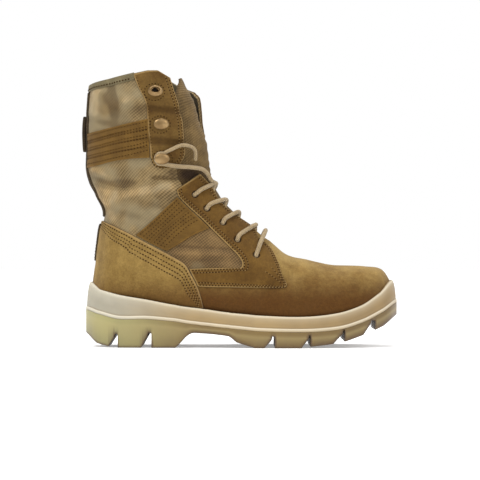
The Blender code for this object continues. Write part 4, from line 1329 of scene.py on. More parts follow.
@dataclass(frozen=True)
class Ribbed(Finish):
    """The tongue's cloth: fine ribs across it in a coarse weave."""

    rib: float = 2.2 * MM
    thread: float = 1.6 * MM
    # Painted shadow of the throat's gap.
    deep: Colour = (0.016, 0.006, 0.001)

    def make(self) -> bpy.types.Material:
        """A wave along and a weaker one across, over patches, then painted shadow in the throat's gap and
        painted shade along the borders.

        Returns:
            The material.
        """
        pad = Pad(self.name)
        run, aside, _ = pad.parts(pad.surface())
        thread = pad.sum("MULTIPLY", pad.wave(aside, self.thread), 0.45)
        weave = pad.sum("ADD", pad.wave(run, self.rib), thread)
        patch = pad.spread(pad.noise(pad.place(), 14 * MM, 4.0, 0.6), 0.3, 0.7, -0.2, 0.4)
        share = pad.sum("ADD", pad.spread(weave, -1.3, 1.3, 0.15, 0.6), patch, clamp=True)
        tone = pad.mix(share, rgba(self.dark), rgba(self.light))
        # Painted shadow where the throat's gap lies over the tongue.
        tone = pad.cover(tone, pad.sum("MULTIPLY", pad.mark("deep"), 0.95), self.deep)
        return pad.done(tone, 0.8, pad.bump(weave, 0.14 * MM), Sheen_Weight=0.05, Specular_IOR_Level=0.2)


@dataclass(frozen=True)
class Rubber:
    """Moulded rubber: slight clouds, a satin skin, a darker low part, partly dust and partly painted shade,
    and a warm glow.

    back, front: Its tones at the heel and from the arch on.
    low, bright: Its tone for dust, dirt and painted shade, and its tone for worn rims with a painted
    highlight.
    low_top: How high the darker low part reaches, partly dust and partly painted shade.
    """

    name: str
    back: Colour
    front: Colour
    low: Colour
    glow: float = 0.0
    roughness: float = 0.5
    low_top: float = 6 * MM
    bright: Colour = (0.72, 0.66, 0.52)
    toe: Colour = (0.76, 0.72, 0.66)

    def make(self) -> bpy.types.Material:
        """A tone that changes along the sole, then clouds, toe, a darker low part, dirt and painted
        shade in recesses, and worn rims with a painted highlight.

        Returns:
            The material.
        """
        pad = Pad(self.name)
        place = pad.place()
        along, _, up = pad.parts(place)
        cloud = pad.noise(place, 22 * MM, 3.0, 0.5)
        tone = pad.mix(pad.spread(along, -30 * MM, 75 * MM), rgba(self.back), rgba(self.front))
        tone = pad.times(tone, pad.spread(cloud, 0.3, 0.7, 0.93, 1.06))
        tone = pad.stain(tone, pad.spread(along, 110 * MM, 250 * MM, 0.0, 0.9), self.toe)
        # Darker low down: partly dust, partly painted shade near the floor.
        dust = pad.sum("MULTIPLY_ADD", pad.noise(place, 6 * MM, 5.0, 0.7), 5 * MM, up)
        tone = pad.cover(tone, pad.spread(dust, 1.5 * MM, self.low_top, 0.75, 0.0), self.low)
        # Dirt and painted shade in recesses and along lower edges.
        tone = pad.cover(tone, pad.sum("MULTIPLY", pad.mark("dirt_and_shade"), 0.92), self.low)
        # Lighter on rims: partly wear, partly a painted highlight.
        tone = pad.cover(tone, pad.sum("MULTIPLY", pad.mark("worn_highlight"), 0.6), self.bright)
        normal = pad.bump(pad.noise(place, 1.2 * MM, 3.0, 0.6), 0.05 * MM, 0.6)
        rough = pad.spread(cloud, 0.3, 0.7, self.roughness - 0.06, self.roughness + 0.08)
        pad.shader.inputs["Subsurface Radius"].default_value = (1.0, 0.7, 0.35)
        return pad.done(tone, rough, normal, Subsurface_Weight=self.glow, Subsurface_Scale=4 * MM)


@dataclass(frozen=True)
class Bronze(Finish):
    """Lacquered bronze-brown metal."""

    # Painted shade inside the open loop's pit.
    hole: Colour = (0.008, 0.005, 0.003)

    def make(self) -> bpy.types.Material:
        """Stains and fine scratches, with painted shade inside the open loop's pit.

        Returns:
            The material.
        """
        pad = Pad(self.name)
        place = pad.place()
        stain = pad.spread(pad.noise(place, 9 * MM, 3.0, 0.5), 0.3, 0.7)
        scratch = pad.noise(place, 1.2 * MM, 3.0, 0.6)
        tone = pad.cover(pad.mix(stain, rgba(self.dark), rgba(self.light)), pad.mark("pit"), self.hole)
        rough = pad.spread(scratch, 0.3, 0.7, 0.3, 0.4)
        return pad.done(tone, rough, pad.bump(scratch, 0.012 * MM, 0.4), Metallic=0.85)


@dataclass(frozen=True)
class Braid(Finish):
    """A round braided lace: strands that wind both ways and cross."""

    pitch: float = 2.1 * MM

    def make(self) -> bpy.types.Material:
        """The higher of two waves that slant each way, over patches.

        Returns:
            The material.
        """
        pad = Pad(self.name)
        run, around, _ = pad.parts(pad.surface())
        left, right = (pad.wave(pad.sum(way, run, around), self.pitch) for way in ("ADD", "SUBTRACT"))
        braid = pad.sum("MAXIMUM", left, right)
        patch = pad.spread(pad.noise(pad.place(), 6 * MM, 4.0, 0.6), 0.3, 0.7, -0.15, 0.25)
        share = pad.sum("ADD", pad.spread(braid, -0.9, 1.0, 0.05, 0.9), patch, clamp=True)
        tone = pad.mix(share, rgba(self.dark), rgba(self.light))
        return pad.done(tone, 0.85, pad.bump(braid, 0.3 * MM), Sheen_Weight=0.15, Specular_IOR_Level=0.2)


@dataclass(frozen=True)
class Thread(Finish):
    """Sewing thread with a twist."""

    gloss: float = 0.3
    twist: float = 0.5 * MM

    def make(self) -> bpy.types.Material:
        """Fine noise between the two tones.

        Returns:
            The material.
        """
        pad = Pad(self.name)
        fine = pad.noise(pad.place(), self.twist, 2.0, 0.6)
        tone = pad.mix(pad.spread(fine, 0.35, 0.65), rgba(self.dark), rgba(self.light))
        return pad.done(tone, 0.75, pad.bump(fine, 0.08 * MM, 0.8), Specular_IOR_Level=self.gloss)


class Finishes:
    """Every finish of the boot, made once."""

    def __init__(self) -> None:
        """Make the materials."""
        self.vamp = Suede(
            "vamp_suede", (0.27, 0.178, 0.056), (0.175, 0.101, 0.025), (0.066, 0.025, 0.004), 45 * MM, 88 * MM
        ).make()
        self.counter = Suede(
            "counter_suede", (0.235, 0.150, 0.044), (0.155, 0.092, 0.023), (0.095, 0.046, 0.01), 46 * MM,
            76 * MM,
        ).make()
        self.facing = Suede(
            "facing_suede", (0.119, 0.062, 0.0125), (0.070, 0.033, 0.0058), (0.095, 0.043, 0.009), 40 * MM,
            60 * MM, (0.26, 0.165, 0.058), 0.85,
        ).make()
        self.strip = Suede(
            "eyestay_suede", (0.122, 0.069, 0.018), (0.075, 0.037, 0.008), rubbed_highlight_tone=(0.25, 0.16, 0.06),
            rubbed_highlight_share=0.85,
        ).make()
        self.nylon = Nylon("shaft_nylon", (0.246, 0.169, 0.073), (0.076, 0.048, 0.017)).make()
        self.lining = Nylon(
            "lining_cloth", (0.075, 0.056, 0.026), (0.035, 0.026, 0.011), 1.6 * MM, 0.0
        ).make()
        self.footbed = Nylon(
            "footbed_cloth", (0.085, 0.07, 0.045), (0.04, 0.034, 0.022), 1.6 * MM, 20.0
        ).make()
        self.webbing = Webbing("ochre_webbing", (0.152, 0.080, 0.0145), (0.080, 0.040, 0.007)).make()
        # Dark webbing for the back's strips: partly their own dark brown, partly painted shade of the back.
        self.dark_webbing = Webbing("dark_webbing", (0.05, 0.034, 0.017), (0.018, 0.012, 0.006)).make()
        self.binding = Webbing("collar_binding_cloth", (0.185, 0.15, 0.08), (0.10, 0.08, 0.04)).make()
        self.ribbed = Ribbed("tongue_cloth", (0.172, 0.108, 0.039), (0.068, 0.041, 0.013)).make()
        self.band = Rubber(
            "beige_rubber", (0.280, 0.254, 0.190), (0.275, 0.188, 0.078), (0.16, 0.10, 0.04), 0.04
        ).make()
        self.outsole = Rubber(
            "honey_rubber", (0.272, 0.245, 0.098), (0.150, 0.094, 0.022), (0.06, 0.03, 0.008), 0.08, 0.42,
            3 * MM, (0.35, 0.28, 0.115),
        ).make()
        self.bronze = Bronze("bronze_metal", (0.32, 0.21, 0.095), (0.18, 0.11, 0.045)).make()
        self.lace = Braid("lace_braid", (0.385, 0.285, 0.155), (0.155, 0.10, 0.045)).make()
        self.pale_thread = Thread("pale_thread", (0.235, 0.150, 0.052), (0.15, 0.088, 0.028)).make()
        # Dark thread, which on the paired seams is painted shade of the needle holes.
        self.dark_thread_and_hole_shade = Thread("dark_thread_and_hole_shade", (0.045, 0.021, 0.006), (0.018, 0.008, 0.002), 0.04).make()


@dataclass
class Studio:
    """The camera at the photograph's angle, the pale floor and soft lights.

    centre: The picture's middle, along and up.
    picture: Its width at the boot.
    distance: From the camera to the boot's middle plane.
    sensor: The camera's sensor, in millimetres.
    floor_reach: Half of the floor's width.
    """

    centre: tuple[float, float] = (109 * MM, 106 * MM)
    picture: float = 480 * MM
    distance: float = 2.4
    sensor: float = 36.0
    floor_reach: float = 6.0

    def build(self) -> None:
        """Set up the camera, the floor, the lights and the sky."""
        scene = bpy.context.scene
        scene.view_settings.view_transform = "Standard"
        data = bpy.data.cameras.new("camera")
        data.sensor_width = self.sensor
        data.lens = self.sensor * self.distance / self.picture
        data.clip_end = 50.0
        camera = bpy.data.objects.new("camera", data)
        camera.location = (self.centre[0], -self.distance, self.centre[1])
        camera.rotation_euler = (radians(90), 0, 0)
        scene.collection.objects.link(camera)
        scene.camera = camera
        self.floor()
        self.sky(scene)
        self.light("key", (-0.9, -1.1, 1.9), (0.1, 0.0, 0.12), 0.8, 26.0)
        self.light("fill", (1.5, -1.0, 1.1), (0.17, 0.0, 0.08), 1.0, 7.5)
        self.light("top", (0.1, 0.4, 2.0), (0.1, 0.0, 0.1), 1.0, 12.0)

    def floor(self) -> None:
        """A wide pale floor at z = 0."""
        reach = self.floor_reach
        mesh = bpy.data.meshes.new("floor")
        corners = [(-reach, -reach, 0), (reach, -reach, 0), (reach, reach, 0), (-reach, reach, 0)]
        mesh.from_pydata(corners, [], [(0, 1, 2, 3)])
        obj = bpy.data.objects.new("floor", mesh)
        bpy.context.scene.collection.objects.link(obj)
        pad = Pad("floor_paper")
        tone = pad.spread(pad.noise(pad.place(), 0.4, 2.0), 0.3, 0.7, 0.88, 0.9)
        tone = pad.mix(1.0, rgba((1, 1, 1)), tone, "MULTIPLY")
        mesh.materials.append(pad.done(tone, 0.9, Emission_Strength=0.3))

    def sky(self, scene: bpy.types.Scene) -> None:
        """Give the scene an even white surround.

        Args:
            scene: The scene.
        """
        world = bpy.data.worlds.new("surround")
        world.use_nodes = True
        back = world.node_tree.nodes["Background"]
        back.inputs["Color"].default_value = rgba((1.0, 1.0, 1.0))
        back.inputs["Strength"].default_value = 1.0
        scene.world = world

    def light(self, name: str, place: Spot, aim: Spot, size: float, power: float) -> None:
        """A soft square light that looks at a point.

        Args:
            name: Its name.
            place: Where it hangs, in metres.
            aim: The point that it looks at.
            size: The length of its side.
            power: Its power in watts.
        """
        data = bpy.data.lights.new(name, "AREA")
        data.size = size
        data.energy = power
        obj = bpy.data.objects.new(name, data)
        obj.location = place
        obj.rotation_euler = Vector(np.array(aim) - np.array(place)).to_track_quat("-Z", "Y").to_euler()
        bpy.context.scene.collection.objects.link(obj)


def tube_piece(name: str, path: Array, thick: float, sides: int = 14) -> Piece:
    """A round tube carried along a path.

    Each section is a circle in the plane across the path, and the sections turn with it
    without twist. Both ends close in a small dome of three smaller sections.

    Args:
        name: The piece's name.
        path: Points of the centre line.
        thick: The tube's full width.
        sides: Points round a section.
    Returns:
        The piece, with surface coordinates of run and girth.
    """
    tangent = unit(np.gradient(path, axis=0))
    aside = unit(np.cross(tangent, np.broadcast_to([0.0, 0.0, 1.0], path.shape)))
    lift = unit(np.cross(aside, tangent))
    angles = np.linspace(0, 2 * pi, sides + 1)
    run = lengths_along(path)
    shrink = np.array([0.05, 0.6, 0.88])
    past = thick * (0.5 - np.array([0.0, 0.12, 0.3]))
    front = path[:1] - tangent[:1] * past[:, None]
    back = path[-1:] + tangent[-1:] * past[::-1, None]
    centres = np.concatenate([front, path, back])
    pick = np.clip(np.arange(-3, len(path) + 3), 0, len(path) - 1)
    half = np.concatenate([shrink, np.ones(len(path)), shrink[::-1]])[:, None, None] * thick / 2
    ring = aside[pick][:, None, :] * np.cos(angles)[:, None]
    ring = ring + lift[pick][:, None, :] * np.sin(angles)[:, None]
    points, faces = capped(centres[:, None, :] + ring * half, False)
    uv = surface_map(run[pick][:, None], angles[None, :] * thick / 2).reshape(-1, 2)
    uv = np.concatenate([uv, [[run[0], 0.0], [run[-1], 0.0]]])
    return Piece(name, points, faces, uv)


@dataclass
class Lacing:
    """The lace: its bars through the eyelets, the top strands to the third hooks and the free end.

    DOWN_HOLE: Where a run ends under an eyelet, as a lift over the last.
    EDGE_BACK: How far before the throat's far edge a run dives under it.
    thick: The lace's width.
    drawn: How much wider the laced runs are than the free end.
    over: From the last to the middle of a lace that lies on a facing.
    eyelets: The eyelets' places in the side view, in shares, from the top.
    third_hook: The third hook's place.
    top_strand, free_end: Places and shares of over along these runs.
    """

    DOWN_HOLE = -1.2 * MM
    EDGE_BACK = 2.6 * MM

    finishes: Finishes
    thick: float = LACE
    drawn: float = 1.2
    over: float = FIT + OVERLAY + LACE / 2 + 1.15 * MM
    eyelets: tuple[Station, ...] = (
        (0.3505, 0.921), (0.389, 0.835), (0.4405, 0.750), (0.487, 0.646), (0.5465, 0.555),
    )
    third_hook: Station = (0.244, 1.190)
    top_strand: tuple[Spot, ...] = (
        (0.364, 1.108, 0.85), (0.334, 1.122, 1.0), (0.302, 1.127, 1.05), (0.276, 1.135, 1.12),
    )
    free_end: tuple[Spot, ...] = (
        (0.268, 1.262, 1.22),
        (0.302, 1.305, 1.20),
        (0.330, 1.295, 1.15),
        (0.345, 1.262, 0.85),
        (0.348, 1.190, 0.60),
    )

    def over_side(self, along: float, up: float, side: Side, lift: float) -> Array:
        """A point over a place in the side view.

        Args:
            along: The place along, in shares.
            up: Its height, in shares.
            side: The side of the boot.
            lift: How far it lies over the last.
        Returns:
            The point.
        """
        at, turn = station(along, up, side)
        return LAST.point(at, turn) + LAST.normal(at, turn) * lift

    def over_top(self, at: float, y: float, lift: float) -> Array:
        """A point over the front of the last.

        Args:
            at: The section number.
            y: The sideways place.
            lift: How far it lies over the last.
        Returns:
            The point.
        """
        turn = LAST.turn_at(np.array(at), np.array(y), True)
        return LAST.point(at, turn) + LAST.normal(at, turn) * lift

    def eyelet(self, index: int, side: Side) -> Station:
        """Section number and sideways place of an eyelet, counted from the top."""
        at, turn = station(*self.eyelets[index], side)
        return at, float(LAST.point(at, turn)[1])

    def throat(self, at: float, side: Side) -> Station:
        """Sideways places of the throat's middle and of its edge on a side."""
        middle = float(LAST.rows(np.array(at))[4])
        return middle, middle + side.value * float(LAST.throat_half(at, side))

    def hook_turn(self, side: Side) -> Array:
        """Points round the back of the third hook's neck, from under it to over it.

        Args:
            side: The side of the boot.
        Returns:
            The points.
        """
        at, turn = station(*self.third_hook, side)
        normal = LAST.normal(at, turn)
        centre = LAST.point(at, turn) + normal * (2 * FIT + OVERLAY + HOOK_PLATE + HOOK_GAP / 2)
        ahead = unit(np.array([1.0, 0.0, 0.0]) - normal * normal[0])
        upward = np.cross(normal, ahead) * (-side.value)
        reach = HOOK_NECK / 2 + self.thick / 2 + 2 * FIT
        angles = np.radians([-70.0, -125.0, -180.0, -235.0, -290.0])
        ring = ahead[None, :] * np.cos(angles)[:, None] + upward[None, :] * np.sin(angles)[:, None]
        return centre + ring * reach

    def free_path(self) -> Array:
        """The free end's line, the same points as the solid's.

        Returns:
            Its points, from the hook to the tip.
        """
        start = self.hook_turn(Side.OUTER)[-1]
        along, up, lift = self.free_end[0]
        first = self.over_side(along, up, Side.OUTER, self.over * lift)
        points = [start + unit(first - start) * 3 * FIT]
        points += [self.over_side(a, u, Side.OUTER, self.over * share) for a, u, share in self.free_end]
        return smooth_rows(np.array(points), np.linspace(0, len(points) - 1, 31))

    def build_free_end(self) -> None:
        """The free end, as a round tube."""
        path = self.free_path()
        piece = tube_piece("lace_free_end", path, self.thick, 16)
        obj = piece.build("lace_end", "lace_cord", self.finishes.lace)
        LOG.info("free end %.1f mm", lengths_along(path)[-1] / MM)

    def strand(self, name: str, points: list[Array], node: str) -> None:
        """One run of lace.

        Args:
            name: Its name.
            points: Points that its middle goes through.
            node: The solid that it stands for.
        """
        path = smooth_rows(np.array(points), np.linspace(0, len(points) - 1, 12 * len(points)))
        tube_piece(name, path, self.thick * self.drawn).build(node, "lace_cord", self.finishes.lace)

    def crossing(self, index: int, side: Side) -> None:
        """A run from under the far facing, over the throat and the near facing and down an eyelet.

        Args:
            index: The near eyelet, counted from the top.
            side: The near side.
        """
        at, y = self.eyelet(index, side)
        far_side = side.other
        far_at = self.eyelet(index + 1, far_side)[0]
        end_at = far_at + 0.15
        middle_at = at + (end_at - at) * 0.93
        middle = self.throat(middle_at, side)[0]
        near_edge = self.throat(at, side)[1]
        far_edge = self.throat(end_at, far_side)[1]
        share = (near_edge - y) / (far_edge - y)
        hump = -0.4 * MM if side is Side.OUTER else -2.8 * MM
        slide = 1 - (1 - share) ** 2.6
        edge_at = at + (end_at - at) * slide
        points = [
            self.over_top(at, y, self.DOWN_HOLE),
            self.over_top(at, y, 0.4 * MM),
            self.over_top(at + (end_at - at) * 0.08, y + (far_edge - y) * 0.08, 2.9 * MM),
            self.over_top(edge_at, near_edge, self.over - 0.7 * MM),
            self.over_top(middle_at, middle, 0.9 * MM + hump),
            self.over_top(end_at, far_edge - far_side.value * self.EDGE_BACK, -0.6 * MM),
            self.over_top(far_at + 0.1, far_edge + far_side.value * 1.0 * MM, -3.6 * MM),
        ]
        name = f"lace_row_{index + 1}_{side.label}"
        self.strand(name, points, f"lace_crossing_{index + 1}")

    def bottom_bar(self) -> None:
        """The first bar, straight across at the lowest eyelets, with both ends down their holes."""
        at, start = self.eyelet(4, Side.OUTER)
        end = self.eyelet(4, Side.INNER)[1]
        points = [self.over_top(at, start, self.DOWN_HOLE), self.over_top(at, start, 0.6 * MM)]
        for share in (0.12, 0.3, 0.5, 0.7, 0.88):
            rise = -0.14 * np.sin(pi * share)
            lift = self.over - (0.6 * MM if share in (0.12, 0.88) else 0.0)
            points.append(self.over_top(at + rise, start + (end - start) * share, lift))
        points += [self.over_top(at, end, 0.6 * MM), self.over_top(at, end, self.DOWN_HOLE)]
        self.strand("lace_bottom_bar", points, "lace_bar")

    def top(self, side: Side) -> None:
        """The run from under the far facing over the throat to the third hook and round its neck.

        Args:
            side: The side of the boot.
        """
        section = 8.9
        far_side = side.other
        middle, edge = self.throat(section, far_side)
        far = edge - far_side.value * self.EDGE_BACK
        hump = 1.4 * MM if side is Side.OUTER else -1.2 * MM
        points = [
            self.over_top(section + 0.5, far + far_side.value * 3.4 * MM, -3.4 * MM),
            self.over_top(section + 0.3, far, -0.8 * MM),
            self.over_top(section, middle + far_side.value * 3 * MM, hump),
            self.over_side(0.3987, 1.0086, side, self.over * (0.42 if side is Side.OUTER else 0.2)),
            self.over_side(0.3810, 1.075, side, self.over * (0.72 if side is Side.OUTER else 0.5)),
        ]
        points += [self.over_side(a, u, side, self.over * lift) for a, u, lift in self.top_strand]
        points += list(self.hook_turn(side))
        if side is Side.INNER:
            last = points[-1]
            points.append(last + np.array([3.0, 1.2, 0.8]) * MM)
        self.strand(f"lace_top_{side.label}", points, "lace_top")

    def build(self) -> None:
        """All runs but the free end."""
        for index in range(4):
            for side in Side:
                self.crossing(index, side)
        self.bottom_bar()
        for side in Side:
            self.top(side)


@dataclass
class Upper:
    """The upper's shell with its folds, and the lining inside it.

    COUNTER_LINE, ARM_LINE, FACING_LINE: Places along and heights, in millimetres, of the lines
    between nylon and suede.
    rows, columns: The shell's fineness along the last and round it.
    """

    COUNTER_LINE = ((-60, -28, -1, 28, 45, 58), (118, 118, 106, 90, 80, 70))
    ARM_LINE = ((58, 115, 120, 300), (70, 70, 300, 300))
    FACING_LINE = ((40, 62, 100, 118), (172, 150, 108, 82))

    finishes: Finishes
    rows: int = 300
    columns: int = 241

    def round_turns(self, at: Array, columns: int) -> Array:
        """Turns of points spread evenly round each section between the throat's edges.

        Args:
            at: Section numbers.
            columns: Points round each section, an odd number.
        Returns:
            Turns, sections by columns, from the outer edge past the back to the inner one.
        """
        half = (columns + 1) // 2
        fine = np.linspace(0, 1, 260)
        sides = []
        for side in Side:
            edge = np.abs(LAST.throat_turn(at, side))[:, None]
            turns = edge * fine[None, :]
            points = LAST.point(at[:, None], turns * side.value)
            steps = np.linalg.norm(np.diff(points, axis=1), axis=2)
            run = np.concatenate([np.zeros((len(at), 1)), np.cumsum(steps, axis=1)], axis=1)
            goal = run[:, -1:] * np.linspace(0, 1, half)[None, :]
            index = (run[:, None, :] < goal[:, :, None]).sum(axis=2)
            index = np.clip(index, 1, len(fine) - 1)
            low = np.take_along_axis(run, index - 1, axis=1)
            high = np.take_along_axis(run, index, axis=1)
            share = np.clip((goal - low) / np.maximum(high - low, 1e-12), 0, 1)
            low_turn = np.take_along_axis(turns, index - 1, axis=1)
            high_turn = np.take_along_axis(turns, index, axis=1)
            sides.append(low_turn + (high_turn - low_turn) * share)
        outer, inner = sides
        return np.concatenate([-outer[:, :0:-1], inner], axis=1)

    def stations(self, rows: int, columns: int) -> tuple[Array, Array]:
        """Section numbers and turns of a sheet from the toe to the collar's edge.

        The rows are spread evenly along the last's side, and near the top they slide to end on
        the collar's edge.

        Args:
            rows: The sheet's rows.
            columns: Its columns, an odd number.
        Returns:
            Section numbers and turns, rows by columns.
        """
        fine = np.linspace(0, 17.5, 500)
        side = LAST.point(fine, np.full(fine.shape, -1.2))
        under = LAST.point(fine, np.full(fine.shape, -0.2))
        run = lengths_along(side) + lengths_along(under)
        at = np.interp(np.linspace(0, run[-1], rows), run, fine)
        turns = self.round_turns(at, columns)
        tops = LAST.collar_at(turns[-1])
        share = np.clip((at - 13.5) / (at[-1] - 13.5), 0, 1)
        ats = at[:, None] + (tops[None, :] - at[-1]) * (share**1.5)[:, None]
        edge_outer = np.abs(LAST.throat_turn(ats[:, 0], Side.OUTER)) / np.maximum(np.abs(turns[:, 0]), 1e-9)
        edge_inner = np.abs(LAST.throat_turn(ats[:, -1], Side.INNER)) / np.maximum(np.abs(turns[:, -1]), 1e-9)
        scale = np.where(turns < 0, edge_outer[:, None], edge_inner[:, None])
        return ats, turns * scale

    def build(self) -> None:
        """The shell and the lining."""
        self.shell()
        self.lining()

    def shell(self) -> None:
        """The outer face with edges rolled over the wall at the throat and the collar."""
        at, turn = self.stations(self.rows, self.columns)
        lift = np.zeros(at.shape)
        roll = np.array([-0.5, -1.4, -2.1]) * MM
        for depth in roll:
            at = np.concatenate([at, at[-1:]])
            turn = np.concatenate([turn, turn[-1:]])
            lift = np.concatenate([lift, np.full((1, lift.shape[1]), depth)])
        points = skin(at, turn, lift)
        open_rows = (at[:, 0] > LAST.throat[0, 0]).astype(float)[:, None]
        columns = [points]
        for depth in roll:
            left = skin(at[:, :1], turn[:, :1], lift[:, :1] + depth * open_rows)
            right = skin(at[:, -1:], turn[:, -1:], lift[:, -1:] + depth * open_rows)
            columns = [left] + columns + [right]
        points = np.concatenate(columns, axis=1)
        rows, count = points.shape[:2]
        nose = points[0].mean(axis=0) + np.array([0.6 * MM, 0, 0])
        faces = grid_faces(rows, count)
        ring = np.arange(count - 1)
        u = points[..., 0] - 0.6 * (40 * MM - np.abs(points[..., 1]))
        uv = np.stack([u, points[..., 2]], axis=-1).reshape(-1, 2)
        uv = np.concatenate([uv, [[0.0, 0.0]]])
        every = np.concatenate([faces, fan(rows * count, ring, ring + 1)])
        flat = np.concatenate([points.reshape(-1, 3), nose[None, :]])
        centre = flat[every].mean(axis=1)
        slots = self.is_cloth(centre).astype(int)
        window = np.clip((flat[:, 0] / MM - 30) / 12, 0, 1) * np.clip((132 - flat[:, 2] / MM) / 10, 0, 1)
        marks = {"edge": np.ones(len(flat)), "fold": RELIEF.mark(flat), "shade": window}
        piece = Piece("upper_shell", flat, every, uv, marks, Solidity.OPEN)
        piece.build("upper", "suede", self.finishes.vamp, self.finishes.nylon, slots=slots)

    def is_cloth(self, places: Array) -> Array:
        """Whether places of the shell are nylon.

        The lines between nylon and suede run hidden under the counter and the facings.

        Args:
            places: Points, one in a row.
        Returns:
            True or false for each of them.
        """
        x = places[:, 0] / MM
        z = places[:, 2] / MM
        counter = np.interp(x, *self.COUNTER_LINE)
        arm = np.interp(x, *self.ARM_LINE)
        bound = np.where(x < 58, counter, arm)
        facing = np.interp(x, *self.FACING_LINE)
        in_front = (x > 50) & (z > facing) & (z < 176)
        return (z > bound) & ~in_front

    def lining(self) -> None:
        """The inner face, on the wall's inside."""
        at, turn = self.stations(120, 121)
        keep = at[:, 0] > 3.0
        at = at[keep]
        turn = turn[keep]
        points = skin(at, turn, np.full(at.shape, -WALL))
        along = np.arange(len(points))[:, None] * 3.4 * MM
        around = (np.arange(points.shape[1])[None, :] - 60) * 2.2 * MM
        faces = grid_faces(*points.shape[:2])
        piece = Piece("upper_lining", points, faces, surface_map(along, around), solidity=Solidity.FLIPPED)
        piece.build("upper", "binding_fabric", self.finishes.lining)


@dataclass
class Panels:
    """The layers sewn onto the shell, and their stitches.

    Lines are places in the side view, in millimetres. Insets are millimetres from a panel's edge.

    counter_top, counter_low: The counter's edges, from the arm back to the heel.
    facing_inner, facing_outer: The facing's edges, from the strip down to the toe and back.
    facing_corner: Two short seams across the facing's front corner.
    strip_back, strip_front: The strip's edges, from the collar down.
    hook_seams: Middles of the oval seams round the hooks.
    band_high, band_low: The shaft webbing's edges.
    strap_high, strap_low, strap_start, strap_end: The slanting strap's edges and ends.
    collar_fold: The binding's section, as depths under the collar's edge and lifts over the last.
    seams: The seams sewn so far, by kind.
    """

    COUNTER_ROWS = (2.2, 4.6, 7.0, 9.4)
    BAND_GROOVES = (0.26, 0.49, 0.72)
    BAND_ROWS = (2.8, 7.6, 10.4, 15.0, 17.8, 22.6, 25.6, 30.6)
    STRAP_ROWS = (3.2, 7.0, 11.0, 15.0, 22.0, 26.0, 30.0, 34.0)

    finishes: Finishes
    counter_top: tuple[Station, ...] = (
        (73, 40), (70, 53), (66, 63), (61, 72), (55, 82), (44, 89), (29, 97), (14, 105), (-1, 113),
        (-15, 120),
    )
    counter_low: tuple[Station, ...] = (
        (72.6, 39), (67, 40.3), (62, 41), (56, 41.6), (50, 42.3), (38, 43.6), (24, 45.5), (10, 47.4),
        (-3, 49.8), (-15, 52.5),
    )
    facing_inner: tuple[Station, ...] = (
        (46, 156), (48, 149), (57, 139), (69, 128), (83, 114), (97, 100), (105, 92), (110, 85.5),
        (110.8, 81), (109, 78.3), (104, 78.2), (89, 78.2), (74, 78), (59, 77.5),
    )
    facing_outer: tuple[Station, ...] = (
        (69, 172), (79, 160), (89, 146), (101, 132.5), (113, 120), (127, 108), (139, 97), (146, 84),
        (150, 72), (154.5, 60.3), (139, 59), (104, 59.3), (84, 59.5), (68, 60),
    )
    facing_corner: tuple[tuple[Station, ...], ...] = (
        ((134, 74), (142, 69), (150, 63)),
        ((140, 78), (146, 71), (150.5, 65)),
    )
    strip_back: tuple[Station, ...] = (
        (4.5, 267), (9, 256), (15, 244), (17, 235), (18, 216), (20, 198), (21, 187), (25, 179.5),
        (31, 176.5),
    )
    strip_front: tuple[Station, ...] = (
        (43.6, 257), (46, 246), (49, 236), (51, 226), (52.4, 216), (53.8, 201), (53.6, 190), (50, 182),
        (42, 176.8),
    )
    hook_seams: tuple[Station, ...] = ((24.5, 251.5), (30.0, 219.5), (32.0, 185.5))
    band_high: tuple[Station, ...] = ((18.5, 225.4), (2, 221.6), (-14, 218), (-28, 214.6))
    band_low: tuple[Station, ...] = ((20.2, 187), (2, 186), (-14, 184), (-28, 180.6))
    strap_high: tuple[Station, ...] = ((46.6, 148.4), (35, 137), (20, 122.8), (6.4, 110.9))
    strap_low: tuple[Station, ...] = ((78.6, 117.6), (62, 110), (50, 102.5), (36.8, 95.0))
    strap_start: tuple[Station, ...] = ((46.6, 148.4), (56.6, 138.6), (68.4, 127.6), (78.6, 117.6))
    strap_end: tuple[Station, ...] = ((6.4, 110.9), (14.5, 106.1), (21.5, 102.2), (29.5, 98.2), (36.8, 95.0))
    collar_fold: tuple[Station, ...] = (
        (6.4, 0.1), (6.4, 0.7), (6.1, 1.1), (4.0, 1.4), (1.0, 1.35), (0.0, 1.1), (-0.7, 0.4), (-0.95, -1.0),
        (-0.7, -2.5), (0.0, -3.2), (2.0, -3.4), (6.0, -3.3), (6.3, -2.9), (6.3, -2.3),
    )
    seams: dict[str, list[tuple[Array, float]]] = field(default_factory=dict)

    def sew(self, kind: str, stations: Array, lift: float) -> None:
        """Keep a seam for the stitches of a kind.

        Args:
            kind: The kind: pair or dark.
            stations: The seam's line.
            lift: The surface's height over the last.
        """
        self.seams.setdefault(kind, []).append((stations, lift))

    def sew_rows(
        self,
        kind: str,
        patch: Patch,
        insets: tuple[float, ...],
        from_b: bool = False,
        ends: Station = (1.5, 1.5),
    ) -> None:
        """Keep rows of stitches along a panel.

        Args:
            kind: The stitches' kind.
            patch: The panel.
            insets: The rows' insets, in millimetres.
            from_b: Measure from its second rail.
            ends: How far before its two ends they stop, in millimetres.
        """
        for inset in insets:
            self.sew(kind, patch.seam(inset, from_b, ends), patch.lift + patch.thick)

    def counter(self) -> None:
        """The heel counter, from one side round the heel to the other."""
        rail_top = self.over_heel(LAST.side_line(self.counter_top, Side.OUTER), 125.0)
        rail_low = self.over_heel(LAST.side_line(self.counter_low, Side.OUTER), 58.5)
        patch = Patch(rail_top, rail_low, OVERLAY, cell=1.4 * MM, straight=False)

        def swell(run: Array, inset: Array, base: Array) -> Array:
            """Two swollen rows along the top."""
            return sewn_edge(inset, self.COUNTER_ROWS[:2]) + sewn_edge(inset, self.COUNTER_ROWS[2:])

        patch.make("counter_panel", swell).build("counter", "suede", self.finishes.counter)
        self.sew_rows("pair", patch, self.COUNTER_ROWS, ends=(8.0, 8.0))

